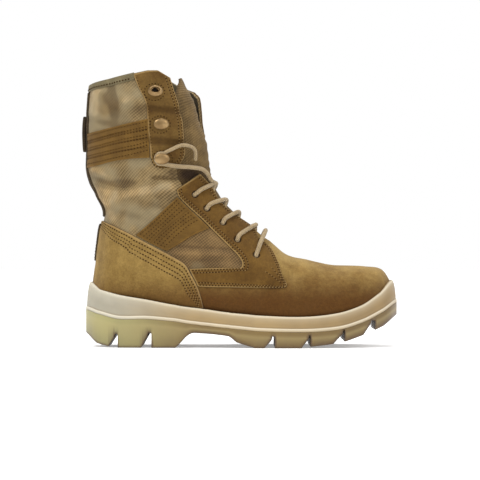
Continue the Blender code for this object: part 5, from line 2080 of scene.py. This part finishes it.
    def over_heel(self, half: Array, z_back: float) -> Array:
        """A rail carried round the heel and mirrored to the other side.

        Args:
            half: The outer side's stations, from the front.
            z_back: The rail's height at the back, in millimetres.
        Returns:
            All stations.
        """
        half = np.concatenate([half, LAST.round_back(half[-1], z_back)])
        return np.concatenate([half, half[-2::-1] * np.array([1.0, -1.0])])

    def quarter(self, side: Side) -> None:
        """The facing with the eyelets and the arm back to the counter.

        Args:
            side: The side of the boot.
        """
        rail_a = LAST.side_line(self.facing_inner, side)
        rail_b = LAST.side_line(self.facing_outer, side)
        edge = LAST.throat_stations([172.5, 160, 146, 132.5, 120, 108], side)
        fine = smooth_rows(edge, np.linspace(0, 5, 71))
        step = np.arange(71)
        blend = np.clip((step - 57) / 13.0, 0, 1)
        if side is Side.OUTER:
            blend = np.maximum(blend, np.clip((34 - step) / 14.0, 0, 1))
        rail_b[:71] = fine * (1 - blend[:, None]) + rail_b[:71] * blend[:, None]
        patch = Patch(rail_a, rail_b, OVERLAY, cell=0.9 * MM)
        holes = [LAST.point(*station(*spot, side)) for spot in Lacing.eyelets]

        def pits(run: Array, inset: Array, base: Array) -> Array:
            """Round pits at the eyelets and swollen sewn edges.

            Args:
                run: Distances along the panel, not used.
                inset: Distances in from its first rail.
                base: The last's points under it.
            Returns:
                Lifts, in metres.
            """
            width = inset.max(axis=1, keepdims=True)
            lift = sewn_edge(inset, (2.0, 4.8)) + sewn_edge(width - inset, (1.9, 4.5))
            for hole in holes:
                gap = np.linalg.norm(base - hole, axis=-1)
                lift = lift - 3.0 * MM * np.clip((3.9 * MM - gap) / (1.1 * MM), 0, 1)
            return lift

        piece = patch.make(f"facing_{side.label}", pits)
        piece.build(f"quarter_{side.label}", "suede", self.finishes.facing)
        self.sew_rows("pair", patch, (2.0, 4.8))
        self.sew_rows("pair", patch, (1.9, 4.5), True)
        for line in self.facing_corner:
            self.sew("pair", LAST.side_line(line, side, 60), FIT + OVERLAY)

    def eyestay(self, side: Side) -> None:
        """The strip up the shaft's front edge that carries the hooks.

        Args:
            side: The side of the boot.
        """
        rail_a = LAST.side_line(self.strip_back, side)
        edge = LAST.throat_stations([266, 256, 244, 232, 216, 200, 190, 182, 176.5], side, True)
        if side is Side.OUTER:
            edge = np.concatenate([edge[:1], LAST.spots(self.strip_front, side)[1:]])
        rail_b = smooth_rows(edge, np.linspace(0, 8, len(rail_a)))
        turn = np.linspace(rail_a[0, 1], rail_b[0, 1], 41)
        top = np.stack([LAST.collar_at(turn) - 0.012, turn], axis=1)
        rail_a[0] = top[0]
        rail_b[0] = top[-1]
        patch = Patch(rail_a, rail_b, OVERLAY, cell=1.1 * MM, start_line=top)

        def swell(run: Array, inset: Array, base: Array) -> Array:
            """A swollen sewn edge in front and a soft hollow behind the hooks."""
            width = inset.max(axis=1, keepdims=True)
            return sewn_edge(width - inset, (2.0, 5.4)) + sewn_edge(inset, (0.4, 2.6))

        piece = patch.make(f"eyestay_strip_{side.label}", swell)
        piece.build(f"eyestay_{side.label}", "suede", self.finishes.strip)
        self.sew_rows("pair", patch, (1.9,), False, (3.0, 2.0))
        self.sew_rows("pair", patch, (2.0, 5.4), True, (3.0, 2.0))
        swing = np.linspace(0, 2 * pi, 90)
        for x, z in self.hook_seams:
            ring = np.stack([x + 9.7 * np.cos(swing), z + 8.4 * np.sin(swing)], axis=1)
            self.sew("dark", LAST.spots(ring, side), FIT + OVERLAY)

    def shaft_band(self, side: Side) -> None:
        """Four straps of webbing sewn side by side round the shaft.

        Args:
            side: The side of the boot.
        """
        high = LAST.side_line(self.band_high, side)
        low = LAST.side_line(self.band_low, side)
        swing = 9.6 * MM
        rail_a = self.to_backstay(high, 211.5, swing, side)
        rail_b = self.to_backstay(low, 177.5, swing, side)
        patch = Patch(rail_a, rail_b, WEBBING, cell=1.0 * MM)

        def grooves(run: Array, inset: Array, base: Array) -> Array:
            """Grooves between the straps and a raised cord along the top.

            Args:
                run: Distances along the panel.
                inset: Distances in from its first rail.
                base: The last's points under it, not used.
            Returns:
                Lifts, in metres.
            """
            whole = np.maximum(inset.max(axis=1, keepdims=True), 1e-6)
            share = inset / whole
            lift = np.zeros(run.shape)
            for groove in self.BAND_GROOVES:
                lift = lift - 0.7 * MM * bell((share - groove) * whole, 0.8 * MM)
            return lift + 0.35 * MM * bell(share * whole - 1.2 * MM, 0.9 * MM)

        piece = patch.make(f"shaft_webbing_{side.label}", grooves)
        piece.build(f"shaft_band_{side.label}", "webbing", self.finishes.webbing)
        self.sew_rows("dark", patch, self.BAND_ROWS, False, (1.0, 0.5))

    def to_backstay(self, line: Array, z_back: float, swing: float, side: Side) -> Array:
        """A rail carried round the back as far as the backstay's edge.

        Args:
            line: The rail's stations, from the front.
            z_back: Its height at the back, in millimetres.
            swing: Half of the backstay's width.
            side: The side of the boot.
        Returns:
            The longer rail.
        """
        rounded = np.concatenate([line, LAST.round_back(line[-1], z_back)])
        y = LAST.point(rounded[:, 0], rounded[:, 1])[:, 1] * side.value
        return rounded[: int(np.argmax(y < swing)) or len(rounded)]

    def ankle_strap(self, side: Side) -> None:
        """The slanting webbing strap over the ankle.

        Args:
            side: The side of the boot.
        """
        lines = (self.strap_high, self.strap_low, self.strap_start, self.strap_end)
        rail_a, rail_b, start, end = (LAST.side_line(line, side) for line in lines)
        patch = Patch(rail_a, rail_b, WEBBING, cell=1.0 * MM, start_line=start, end_line=end)

        def grooves(run: Array, inset: Array, base: Array) -> Array:
            """A groove down the strap's middle and a raised cord along its upper edge."""
            lift = -0.7 * MM * bell(inset - 19 * MM, 0.8 * MM)
            return lift + 0.35 * MM * bell(inset - 1.2 * MM, 0.9 * MM)

        piece = patch.make(f"ankle_webbing_{side.label}", grooves)
        piece.build(f"ankle_strap_{side.label}", "webbing", self.finishes.webbing)
        self.sew_rows("dark", patch, self.STRAP_ROWS, False, (2.0, 2.0))

    def collar(self) -> None:
        """The binding folded over the collar's edge between the two strips."""
        reach = np.linspace(-1.0, 1.0, 161)
        outer_end = LAST.spots([(5.0, 266)], Side.OUTER)[0, 1]
        turns = reach * abs(outer_end)
        tops = LAST.collar_at(turns)
        gap = np.linalg.norm(LAST.point(tops, turns) - LAST.point(tops - 0.1, turns), axis=-1) / 0.1
        fold = np.array(self.collar_fold) * MM
        at = tops[None, :] - fold[:, :1] / gap[None, :]
        turn = np.broadcast_to(turns[None, :], at.shape)
        lift = np.broadcast_to(fold[:, 1:], at.shape) + FIT * 0.5
        base = LAST.point(np.minimum(at, LAST.end), turn)
        points = base + LAST.normal(at, turn) * (lift + RELIEF.lift(base))[..., None]
        run = lengths_along(points[3])
        uv = surface_map(run[None, :], lengths_along(points[:, 80])[:, None])
        faces = grid_faces(*points.shape[:2], wrap_rows=True)
        piece = Piece("collar_fold", points, faces, uv, {"edge": np.ones(points[..., 0].shape)})
        piece.build("collar_binding", "binding_fabric", self.finishes.binding)
        seam_at = tops - 4.6 * MM / gap
        self.sew("dark", np.stack([seam_at, turns], axis=1)[4:-4], 1.8 * MM)

    def back(self) -> None:
        """The backstay, the strip down the counter and the pull loop."""
        rails = self.back_rails(253, 129, np.full(12, 9.0))
        # The back's strips take the dark webbing, which carries painted shade.
        patch = Patch(*rails, WEBBING, cell=1.1 * MM, straight=False)
        patch.make("backstay_strip").build("backstay", "dark_webbing", self.finishes.dark_webbing)
        for from_b in (False, True):
            self.sew_rows("dark", patch, (2.2,), from_b)
        rails = self.back_rails(121, 85, np.linspace(7.5, 3.6, 8))
        strip = Patch(*rails, 1.2 * MM, 2 * FIT + OVERLAY, 1.0 * MM, straight=False)
        strip.make("heel_tab").build("heel_strip", "dark_webbing", self.finishes.dark_webbing)
        for from_b in (False, True):
            self.sew_rows("dark", strip, (1.6,), from_b)
        self.pull_loop()

    def back_rails(self, top: float, low: float, half: Array) -> tuple[Array, Array]:
        """Rails down the two edges of a strip on the back seam.

        Args:
            top: Where it starts, in millimetres.
            low: Where it ends, in millimetres.
            half: Half of its width at even heights, in millimetres.
        Returns:
            The outer and the inner rail.
        """
        at = LAST.back_at(np.linspace(top, low, len(half)) * MM)
        turns = (LAST.turn_at(at, side.value * half * MM, False) for side in Side)
        outer, inner = (np.stack([at, turn], axis=1) for turn in turns)
        return outer, inner

    def pull_loop(self) -> None:
        """A short strap that stands off the backstay between its two sewn ends.

        Its line is a half wave off the backstay, and its section a rounded flat bar.
        """
        share = np.linspace(0, 1, 41)
        z = (194.0 + (229.0 - 194.0) * share) * MM
        at = LAST.back_at(z)
        seat = LAST.point(at, np.zeros(at.shape))
        stand = 1.5 * MM * np.sin(pi * share) ** 0.6
        path = seat.copy()
        path[:, 0] -= 2 * FIT + WEBBING + stand * 0.85 + 0.7 * MM
        path[:, 1] = 0.0
        path[:, 2] = z
        across = np.linspace(0, 2 * pi, 25)[:-1]
        wide = 7.0 * MM * np.sign(np.cos(across)) * np.abs(np.cos(across)) ** 0.35
        deep = 1.5 * MM * np.sign(np.sin(across)) * np.abs(np.sin(across)) ** 0.6
        deep = deep * np.where(deep > 0, 1.7, 1.0)
        points = path[:, None, :] + np.stack([deep, wide, np.zeros(24)], axis=1)[None, :, :]
        flat, every = capped(points, True, np.stack([path[0], path[-1]]))
        uv = np.stack([flat[:, 2], flat[:, 1]], axis=1)
        piece = Piece("pull_strap", flat, every, uv, {"edge": np.ones(len(flat))})
        piece.build("pull_loop", "dark_webbing", self.finishes.dark_webbing)

    def build(self) -> None:
        """All layers, then their stitches."""
        self.counter()
        for side in Side:
            self.quarter(side)
            self.eyestay(side)
            self.shaft_band(side)
            self.ankle_strap(side)
        self.collar()
        self.back()
        dark = Stitching(length=1.75 * MM, width=1.5 * MM, rise=0.34 * MM)
        pale = Stitching(length=1.35 * MM, width=0.8 * MM, rise=0.42 * MM, phase=0.0)
        # Dark beads on every seam: partly dark thread, and on the paired seams painted shade of the needle
        # holes.
        holes = self.seams["dark"] + self.seams["pair"]
        dark.make("stitch_holes", holes).build("", "suede", self.finishes.dark_thread_and_hole_shade)
        pale.make("stitch_threads", self.seams["pair"]).build("", "suede", self.finishes.pale_thread)
        LOG.info("stitches in %d seams", len(holes))


@dataclass
class Tongue:
    """The ribbed tongue under the throat, curled inwards at its top.

    rows: Section numbers with the sink in walls and half of the width in shaft widths.
    thick: Its thickness.
    """

    finishes: Finishes
    rows: tuple[Spot, ...] = (
        (5.7, 0.05, 0.20), (8.0, 0.05, 0.30), (11.0, 0.05, 0.37), (13.2, 0.15, 0.41), (16.0, 2.0, 0.40),
        (17.5, 3.0, 0.32), (18.1, 3.4, 0.20), (18.42, 3.6, 0.05),
    )
    thick: float = 3.0 * MM

    def build(self) -> None:
        """A leaf that lies a sink below the last's surface, with rounded borders."""
        table = np.array(self.rows)
        at = np.linspace(5.7, 18.42, 170)
        across = np.linspace(-1, 1, 61)
        sink = WALL + FIT + np.interp(at, table[:, 0], table[:, 1]) * WALL
        half = np.interp(at, table[:, 0], table[:, 2]) * SHAFT_WIDTH
        shift = np.interp(at, (9.0, 13.0), (0.0, -0.07)) * SHAFT_WIDTH
        middle = LAST.rows(at)[:, 4] + shift
        y = middle[:, None] + across[None, :] * half[:, None]
        grid_at = np.broadcast_to(at[:, None], y.shape)
        turn = LAST.turn_at(grid_at, y, True)
        rib = 0.25 * MM * np.sin(at * 9.0)[:, None] * (1 - across[None, :] ** 2)
        fold = -0.8 * MM * (bell(at - 13.1, 0.25) + bell(at - 14.3, 0.3))[:, None]
        roundness = np.sqrt(np.clip(1 - np.abs(across) ** 8, 0, 1))[None, :]
        top = np.minimum(-sink[:, None] + rib + fold, -sink[:, None] + 0.2 * MM)
        body = (self.thick / 2) * roundness
        base = LAST.point(grid_at, turn)
        normal = LAST.normal(grid_at, turn)
        centre = top - self.thick / 2
        upper = base + normal * (centre + body)[..., None]
        lower = base + normal * (centre - body)[..., None]
        run = lengths_along(upper[:, 30])
        uv = surface_map(run[:, None], y - middle[:, None])
        # The deep mark is painted shadow under the throat's gap, and painted shade along the borders under
        # the facings.
        far = np.hypot((upper[..., 0] - 59 * MM) / (13 * MM), (upper[..., 2] - 171 * MM) / (7.5 * MM))
        deep = np.clip(1.5 - far, 0, 1) * (y < -6 * MM)
        deep = np.maximum(deep, np.clip((np.abs(across) - 0.8) / 0.2, 0, 1)[None, :] * 0.6)
        piece = slab("tongue_leaf", upper, lower, uv, {"deep": deep})
        piece.build("tongue", "tongue_fabric", self.finishes.ribbed)


class HookKind(Enum):
    """The top hook is an open loop, the others closed domes."""

    LOOP = "loop"
    DOME = "dome"


@dataclass
class Hooks:
    """The three pairs of speed hooks on the strips.

    places: Their places in the side view, in shares, from the top.
    length, width: The cap's size.
    profile: Radii and heights in millimetres, from the plate to the cap's middle.
    """

    finishes: Finishes
    places: tuple[Station, ...] = ((0.223, 1.759), (0.241, 1.483), (0.244, 1.190))
    length: float = 15 * MM
    width: float = 11 * MM
    profile: tuple[Station, ...] = (
        (0.0, 0.0), (4.2, 0.0), (4.5, 0.3), (4.3, 0.8), (3.4, 1.2), (3.0, 1.7), (2.9, 3.4), (3.1, 4.9),
        (3.9, 5.3), (4.9, 5.2), (5.35, 5.5), (5.5, 5.95), (5.3, 6.5), (4.8, 7.0), (4.0, 7.45), (3.0, 7.8),
        (1.9, 8.0), (0.9, 8.1), (0.0, 8.12),
    )

    def build(self) -> None:
        """All six hooks."""
        for side in Side:
            for number, spot in enumerate(self.places, 1):
                kind = HookKind.LOOP if number == 1 else HookKind.DOME
                piece = self.hook(f"speed_hook_{side.label}_{number}", spot, side, kind)
                piece.build(f"hook_{side.label}_{number}", "hook_metal", self.finishes.bronze)

    def hook(self, name: str, spot: Station, side: Side, kind: HookKind) -> Piece:
        """A plate, a neck and an oval cap, as one profile turned round the hook's axis.

        The profile runs from the plate's edge up the neck, out under the cap, over its rim and to
        its middle. The open loop has a pit pressed into the cap's upper half.

        Args:
            name: The piece's name.
            spot: The hook's place, in shares.
            side: The side of the boot.
            kind: The cap's kind.
        Returns:
            The piece.
        """
        at, turn = station(*spot, side)
        normal = LAST.normal(at, turn)
        ahead = unit(np.array([1.0, 0.0, 0.0]) - normal * normal[0])
        across = np.cross(normal, ahead)
        upward = across * (-side.value)
        start = LAST.point(at, turn) + normal * (2 * FIT + OVERLAY + float(RELIEF.lift(LAST.point(at, turn))))
        profile = smooth_rows(np.array(self.profile), np.linspace(0, len(self.profile) - 1, 55)) * MM
        angles = np.linspace(0, 2 * pi, 41)
        radius = np.maximum(profile[:, 0], 0.0)
        rise = profile[:, 1]
        cap_share = np.clip((rise - 4.6 * MM) / (1.0 * MM), 0, 1)
        stretch = 1 + cap_share * (self.length / self.width - 1)
        flat_x = radius[:, None] * np.cos(angles)[None, :] * stretch[:, None]
        flat_y = radius[:, None] * np.sin(angles)[None, :]
        high = np.broadcast_to(rise[:, None], flat_x.shape).copy()
        pit = np.zeros(flat_x.shape)
        if kind is HookKind.LOOP:
            gap = np.hypot(flat_x / (3.9 * MM), (flat_y - 1.2 * MM) / (2.3 * MM))
            on_cap = cap_share[:, None] * np.clip((rise[:, None] - 5.6 * MM) / (0.6 * MM), 0, 1)
            high = high - 4.4 * MM * on_cap * np.clip((1.15 - gap) / 0.3, 0, 1)
            high = high + 0.8 * MM * on_cap * bell(gap - 1.4, 0.3)
            # The pit mark carries painted shade into the loop's hole.
            pit = on_cap * np.clip((1.05 - gap) / 0.25, 0, 1)
        points = start + flat_x[..., None] * ahead + flat_y[..., None] * upward + high[..., None] * normal
        faces = grid_faces(*points.shape[:2])
        return Piece(name, points, faces, None, {"pit": pit})


@dataclass
class Sole:
    """The beige band and the honey outsole with its lugs.

    plan: Shares of the length with the outer and inner reach in sole widths.
    levels: Shares of the length with the rim, the joint and the tread in heel heights.
    notches: Each notch's start, top and end as shares of the length, and its depth in lugs.
    toe_drift: How far the toe's tip lies inwards, in sole widths.
    lug_depth: A lug's depth.
    profile: The band's section. Each point has an inset and a height in millimetres, the share
        of the way from the joint to the rim, how much it is lightened for wear and a painted
        highlight, and how much it is darkened for dirt and painted shade.
    SECTIONS: The outsole's even sections.
    NOTCH_LEAN: How far a notch's front wall leans, as a share of the length.
    CORNER_STEPS: Where extra sections lie round a notch's corner, as shares.
    CHANNEL: Half of the width of the channel under the forefoot.
    """

    SECTIONS = 330
    NOTCH_LEAN = 0.004
    CORNER_STEPS = (-0.002, -1e-5, 1e-5, 0.002)
    CHANNEL = 4.4 * MM

    finishes: Finishes
    plan: tuple[Spot, ...] = (
        (0.035, 0.235, 0.230), (0.10, 0.345, 0.335), (0.20, 0.385, 0.360), (0.32, 0.410, 0.375),
        (0.44, 0.450, 0.405), (0.56, 0.488, 0.455), (0.67, 0.503, 0.494), (0.77, 0.495, 0.505),
        (0.86, 0.445, 0.480), (0.93, 0.345, 0.410), (0.98, 0.195, 0.270),
    )
    levels: tuple[tuple[float, ...], ...] = (
        (0.00, 1.40, 0.80, 0.30), (0.04, 1.25, 0.72, 0.09), (0.11, 1.13, 0.61, 0.0),
        (0.20, 1.03, 0.61, 0.0), (0.289, 0.92, 0.56, 0.0), (0.335, 0.87, 0.51, 0.285),
        (0.37, 0.84, 0.48, 0.31), (0.46, 0.76, 0.42, 0.25), (0.485, 0.74, 0.40, 0.12),
        (0.55, 0.70, 0.36, 0.0), (0.66, 0.67, 0.34, 0.0), (0.74, 0.69, 0.35, 0.05),
        (0.82, 0.77, 0.41, 0.13), (0.89, 0.93, 0.56, 0.29), (0.95, 1.18, 0.76, 0.46),
        (1.00, 1.44, 0.96, 0.69),
    )
    notches: tuple[tuple[float, ...], ...] = (
        (0.080, 0.100, 0.108, 1.0), (0.182, 0.206, 0.215, 1.15), (0.572, 0.598, 0.605, 0.9),
        (0.690, 0.714, 0.717, 0.85), (0.790, 0.822, 0.825, 0.9), (0.885, 0.912, 0.923, 0.85),
    )
    toe_drift: float = 0.045
    lug_depth: float = 13 * MM
    profile: tuple[tuple[float, ...], ...] = (
        (7.0, 0.0, 0.0, 0.0, 1.0), (0.9, -0.3, 0.0, 0.0, 0.8), (0.35, -0.28, 0.0, 0.0, 0.5),
        (0.0, 0.3, 0.0, 0.3, 0.0), (0.0, 1.8, 0.0, 0.7, 0.0), (0.15, 2.5, 0.0, 1.0, 0.0),
        (0.6, 3.0, 0.0, 0.9, 0.0), (0.95, 3.2, 0.0, 0.2, 0.4), (1.1, 3.6, 0.0, 0.0, 0.45),
        (1.05, 4.3, 0.0, 0.0, 0.1), (1.0, 5.4, 0.0, 0.0, 0.0), (0.95, 0.0, 0.45, 0.0, 0.0),
        (0.95, 0.0, 0.65, 0.1, 0.0), (1.0, -0.6, 0.86, 0.25, 0.0), (1.1, -1.7, 0.98, 0.5, 0.0),
        (1.3, -1.1, 1.0, 0.8, 0.0), (1.7, -0.45, 1.0, 0.9, 0.0), (2.4, -0.1, 1.0, 0.6, 0.0),
        (3.2, 0.0, 1.0, 0.2, 0.1), (4.2, -0.25, 1.0, 0.0, 0.6), (5.6, -0.9, 1.0, 0.0, 1.0),
        (8.6, -2.8, 1.0, 0.0, 1.0), (9.2, -6.0, 1.0, 0.0, 1.0), (8.4, 3.0, 0.0, 0.0, 1.0),
    )

    def loop(self, count: int) -> Array:
        """The sole's outline in plan, evenly spaced, from the heel's back round the outer side.

        Args:
            count: How many points it gets.
        Returns:
            Places along and sideways.
        """
        plan = np.array(self.plan)
        outer = np.stack([plan[:, 0], -plan[:, 1] * SOLE_WIDTH], axis=1)
        inner = np.stack([plan[:, 0], plan[:, 2] * SOLE_WIDTH], axis=1)
        toe = [[1.0, self.toe_drift * SOLE_WIDTH]]
        places = np.concatenate([[[0.0, 0.0]], outer, toe, inner[::-1]])
        places[:, 0] = places[:, 0] * SOLE_LENGTH - HEEL_BACK
        closed = np.concatenate([places[-1:], places, places[:2]])
        fine = smooth_rows(closed, np.linspace(1, len(places) + 1, 2400))
        run = lengths_along(fine)
        goal = np.linspace(0, run[-1], count + 1)[:-1]
        return places_on(fine, run, goal)

    def level(self, along: Array, column: int) -> Array:
        """A height of the sole on a smooth curve.

        Args:
            along: Shares of the length.
            column: 1 for the rim, 2 for the joint, 3 for the tread.
        Returns:
            Heights over the floor.
        """
        table = np.array(self.levels)
        positions = np.interp(np.clip(along, 0, 1), table[:, 0], np.arange(len(table)))
        return smooth_rows(table, positions)[..., column] * HEEL_SEAT

    def outward(self, loop: Array) -> Array:
        """Outward directions of a plan loop."""
        tangent = np.roll(loop, -1, axis=0) - np.roll(loop, 1, axis=0)
        normal = unit(np.stack([tangent[:, 1], -tangent[:, 0]], axis=1))
        return normal if normal[0, 0] < 0 else -normal

    def band(self) -> None:
        """The band as a profile carried round the plan outline.

        A profile point is an inset from the outline and a height between the joint and the rim,
        so the steps follow both lines. Towards heel and toe the rim leans in further.
        """
        loop = self.loop(560)
        outward = self.outward(loop)
        along = (loop[:, 0] + HEEL_BACK) / SOLE_LENGTH
        joint = self.level(along, 2) + FIT
        rim = self.level(along, 1)
        profile = np.array(self.profile)
        rolled = profile[:, 2:3] ** 2 * (2.6 * MM * np.abs(outward[:, 0]))[None, :]
        inset = profile[:, :1] * MM + rolled
        z = joint[None, :] + profile[:, 1:2] * MM + profile[:, 2:3] * (rim - joint)[None, :]
        plan = loop[None, :, :] - outward[None, :, :] * inset[..., None]
        points = np.concatenate([plan, z[..., None]], axis=2)
        # Marks for the rubber: lighter rims, partly wear and partly a painted highlight, and darker recesses,
        # partly dirt and partly painted shade.
        marks = {"worn_highlight": np.repeat(profile[:, 3], len(loop)), "dirt_and_shade": np.repeat(profile[:, 4], len(loop))}
        faces = grid_faces(*points.shape[:2], wrap_rows=True, wrap_columns=True)
        Piece("sole_band", points, faces, None, marks).build("midsole", "beige_rubber", self.finishes.band)

    def roof(self, along: Array) -> Array:
        """Height of the tread with its notches.

        Args:
            along: Shares of the length.
        Returns:
            Heights over the floor.
        """
        table = np.array(self.levels)
        tread = self.level(along, 3)
        tread = np.where(tread < 0.6 * MM, 0.0, tread)

        def plain(share: float) -> float:
            """The tread's height without its notches, on straight lines."""
            return float(np.interp(share, table[:, 0], table[:, 3])) * HEEL_SEAT

        for start, apex, end, depth in self.notches:
            top = plain(apex) + self.lug_depth * depth
            line_x = [start, apex - self.NOTCH_LEAN, apex, end, end + 1e-5]
            line_z = [plain(start), top - 4 * MM, top, top - MM, 0.0]
            cut = np.interp(along, line_x, line_z, left=-1.0, right=-1.0)
            tread = np.maximum(tread, cut)
        return tread

    def cuts(self, loop: Array) -> Array:
        """Places where the outsole's sections lie, closer at its ends and on both sides of a notch's corners.

        Args:
            loop: The outline in plan.
        Returns:
            Places along, in metres.
        """
        low, high = loop[:, 0].min() + 1e-6, loop[:, 0].max() - 1e-6
        even = low + (high - low) * (1 - np.cos(np.linspace(0, pi, self.SECTIONS))) / 2
        crisp = []
        for start, apex, end, _ in self.notches:
            for share in (start, apex - self.NOTCH_LEAN, apex, end):
                crisp += [share + step for step in self.CORNER_STEPS]
        return np.unique(np.concatenate([even, np.array(crisp) * SOLE_LENGTH - HEEL_BACK]))

    def edges(self, loop: Array, x: Array) -> list[Array]:
        """Sideways places of the outline's outer and inner edge.

        Args:
            loop: The outline in plan.
            x: Places along.
        Returns:
            Places sideways of the outer edge, then of the inner one.
        """
        half = int(np.argmax(loop[:, 0]))
        edges = []
        for line in (loop[: half + 1], np.concatenate([loop[half:], loop[:1]])):
            line = line[np.argsort(line[:, 0])]
            edges.append(np.interp(x, line[:, 0], line[:, 1]))
        return edges

    def outsole(self) -> None:
        """The outsole as sections across it, from the heel's back to the toe.

        Each section goes down the outer wall, across the tread with its middle channel, up the
        inner wall and back across the joint, with rounded lower corners.
        """
        loop = self.loop(2400)
        x = self.cuts(loop)
        left, right = self.edges(loop, x)
        along = (x + HEEL_BACK) / SOLE_LENGTH
        joint = self.level(along, 2)
        tread = self.level(along, 3)
        bottom = np.minimum(self.roof(along), joint - 0.5 * MM)
        width = right - left
        foot_inset = np.minimum(1.0 * MM, width * 0.2)
        round_in = np.minimum(1.3 * MM, width * 0.2)
        shoulder = joint - 0.45 * np.minimum(joint - tread, self.lug_depth)
        wall = np.minimum(shoulder, joint - 0.3 * MM)
        wall = np.minimum(np.maximum(wall, bottom + 1.4 * MM), joint)
        corner = [
            (0.0, joint),
            (0.0, (joint + wall) / 2),
            (0.0, wall),
            (foot_inset * 0.5, np.minimum((wall + bottom) / 2, bottom + 3 * MM)),
            (foot_inset * 0.8, bottom + 0.9 * MM),
            (foot_inset + round_in * 0.3, bottom + 0.25 * MM),
            (foot_inset + round_in, bottom),
        ]
        first = left + foot_inset + round_in
        last = right - foot_inset - round_in
        middle = self.toe_drift * SOLE_WIDTH * np.maximum(along - 0.3, 0)
        outer_edge = np.maximum(middle - self.CHANNEL - 0.1 * MM, first)
        inner_edge = np.minimum(middle + self.CHANNEL + 0.1 * MM, last)
        deep = np.where((along > 0.52) & (along < 0.93), 5 * MM, 0.0)
        deep = np.minimum(deep, np.maximum(joint - bottom - 2 * MM, 0))
        shares = np.linspace(0, 1, 9)
        sides = [(left + inset, level) for inset, level in corner]
        sides += [(first + (outer_edge - first) * share, bottom) for share in shares[1:]]
        for reach in (-self.CHANNEL, self.CHANNEL):
            sides.append((np.maximum(middle + reach, first), bottom + deep))
        sides += [(inner_edge + (last - inner_edge) * share, bottom) for share in shares[:-1]]
        sides += [(right - inset, level) for inset, level in corner[::-1]]
        sides += [(right - width * share, joint) for share in (0.3, 0.5, 0.7)]
        y, z = (np.stack(values, axis=1) for values in zip(*sides))
        points = np.stack([np.broadcast_to(x[:, None], y.shape), y, z], axis=-1)
        near = np.abs(x[:, None] - x[None, :]) < 1.3 * MM
        roof = np.where(near, bottom[None, :], -1.0).max(axis=1)
        raised = ramp(bottom - tread, 0.0, 2 * MM)
        # Darker near each section's bottom and under the notches' roofs: partly dirt, partly painted shade.
        dirt_and_shade = np.clip(1 - (z - roof[:, None]) / (4.2 * MM), 0, 1) ** 1.2
        dirt_and_shade = np.maximum(dirt_and_shade, raised[:, None] * (z < bottom[:, None] + 1 * MM))
        # Lighter along the wall's shoulder: partly wear, partly a painted highlight.
        worn_highlight = np.clip(1 - np.abs(z - wall[:, None]) / (1.2 * MM), 0, 1) * 0.5 * (1 - dirt_and_shade)
        marks = {name: np.append(values, [0.0, 0.0]) for name, values in (("dirt_and_shade", dirt_and_shade), ("worn_highlight", worn_highlight))}
        flat, every = capped(points, True)
        piece = Piece("lugged_outsole", flat, every, None, marks)
        obj = piece.build("outsole", "honey_rubber", self.finishes.outsole)
        obj.data.set_sharp_from_angle(angle=radians(38))

    def insole(self) -> None:
        """The footbed inside: a dished sheet a little above the last's underside."""
        at = np.linspace(1.6, 10.2, 90)
        rows = LAST.rows(at)
        across = np.linspace(-1, 1, 41)
        climb = rows[:, 1:2] - rows[:, 3:4]
        dish = (WALL + 3.4 * MM) + 1.6 * MM * across[None, :] ** 4
        rise = np.clip(dish / climb, 0, 0.9 * rows[:, 7:8])
        lean = np.arcsin((1 - rise / rows[:, 7:8]) ** (rows[:, 8:9] / 2))
        full = np.where(across[None, :] < 0, rows[:, 5:6], rows[:, 6:7])
        reach = np.cos(lean) ** (2 / rows[:, 8:9]) * full - WALL - 0.8 * MM
        x = rows[:, 2:3] + (rows[:, 0:1] - rows[:, 2:3]) * rise
        y = rows[:, 4:5] + across[None, :] * np.maximum(reach, 2 * MM)
        z = rows[:, 3:4] + climb * rise
        top = np.stack([x, y, z], axis=-1)
        bottom = top - np.array([0, 0, 2.0 * MM])
        slab("footbed", top, bottom, top[..., :2]).build("insole", "footbed_fabric", self.finishes.footbed)

    def build(self) -> None:
        """Band, outsole and footbed."""
        self.band()
        self.outsole()
        self.insole()


def main() -> None:
    """Build the sub-assemblies in order. Each piece reports itself."""
    logging.basicConfig(level=logging.INFO, format="%(name)s: %(message)s")
    Studio().build()
    finishes = Finishes()
    lacing = Lacing(finishes)
    lacing.build_free_end()
    others = (kind(finishes) for kind in (Sole, Upper, Panels, Tongue, Hooks))
    for assembly in (*others, lacing):
        LOG.info("now %s", type(assembly).__name__)
        assembly.build()


if __name__ == "__main__":
    main()
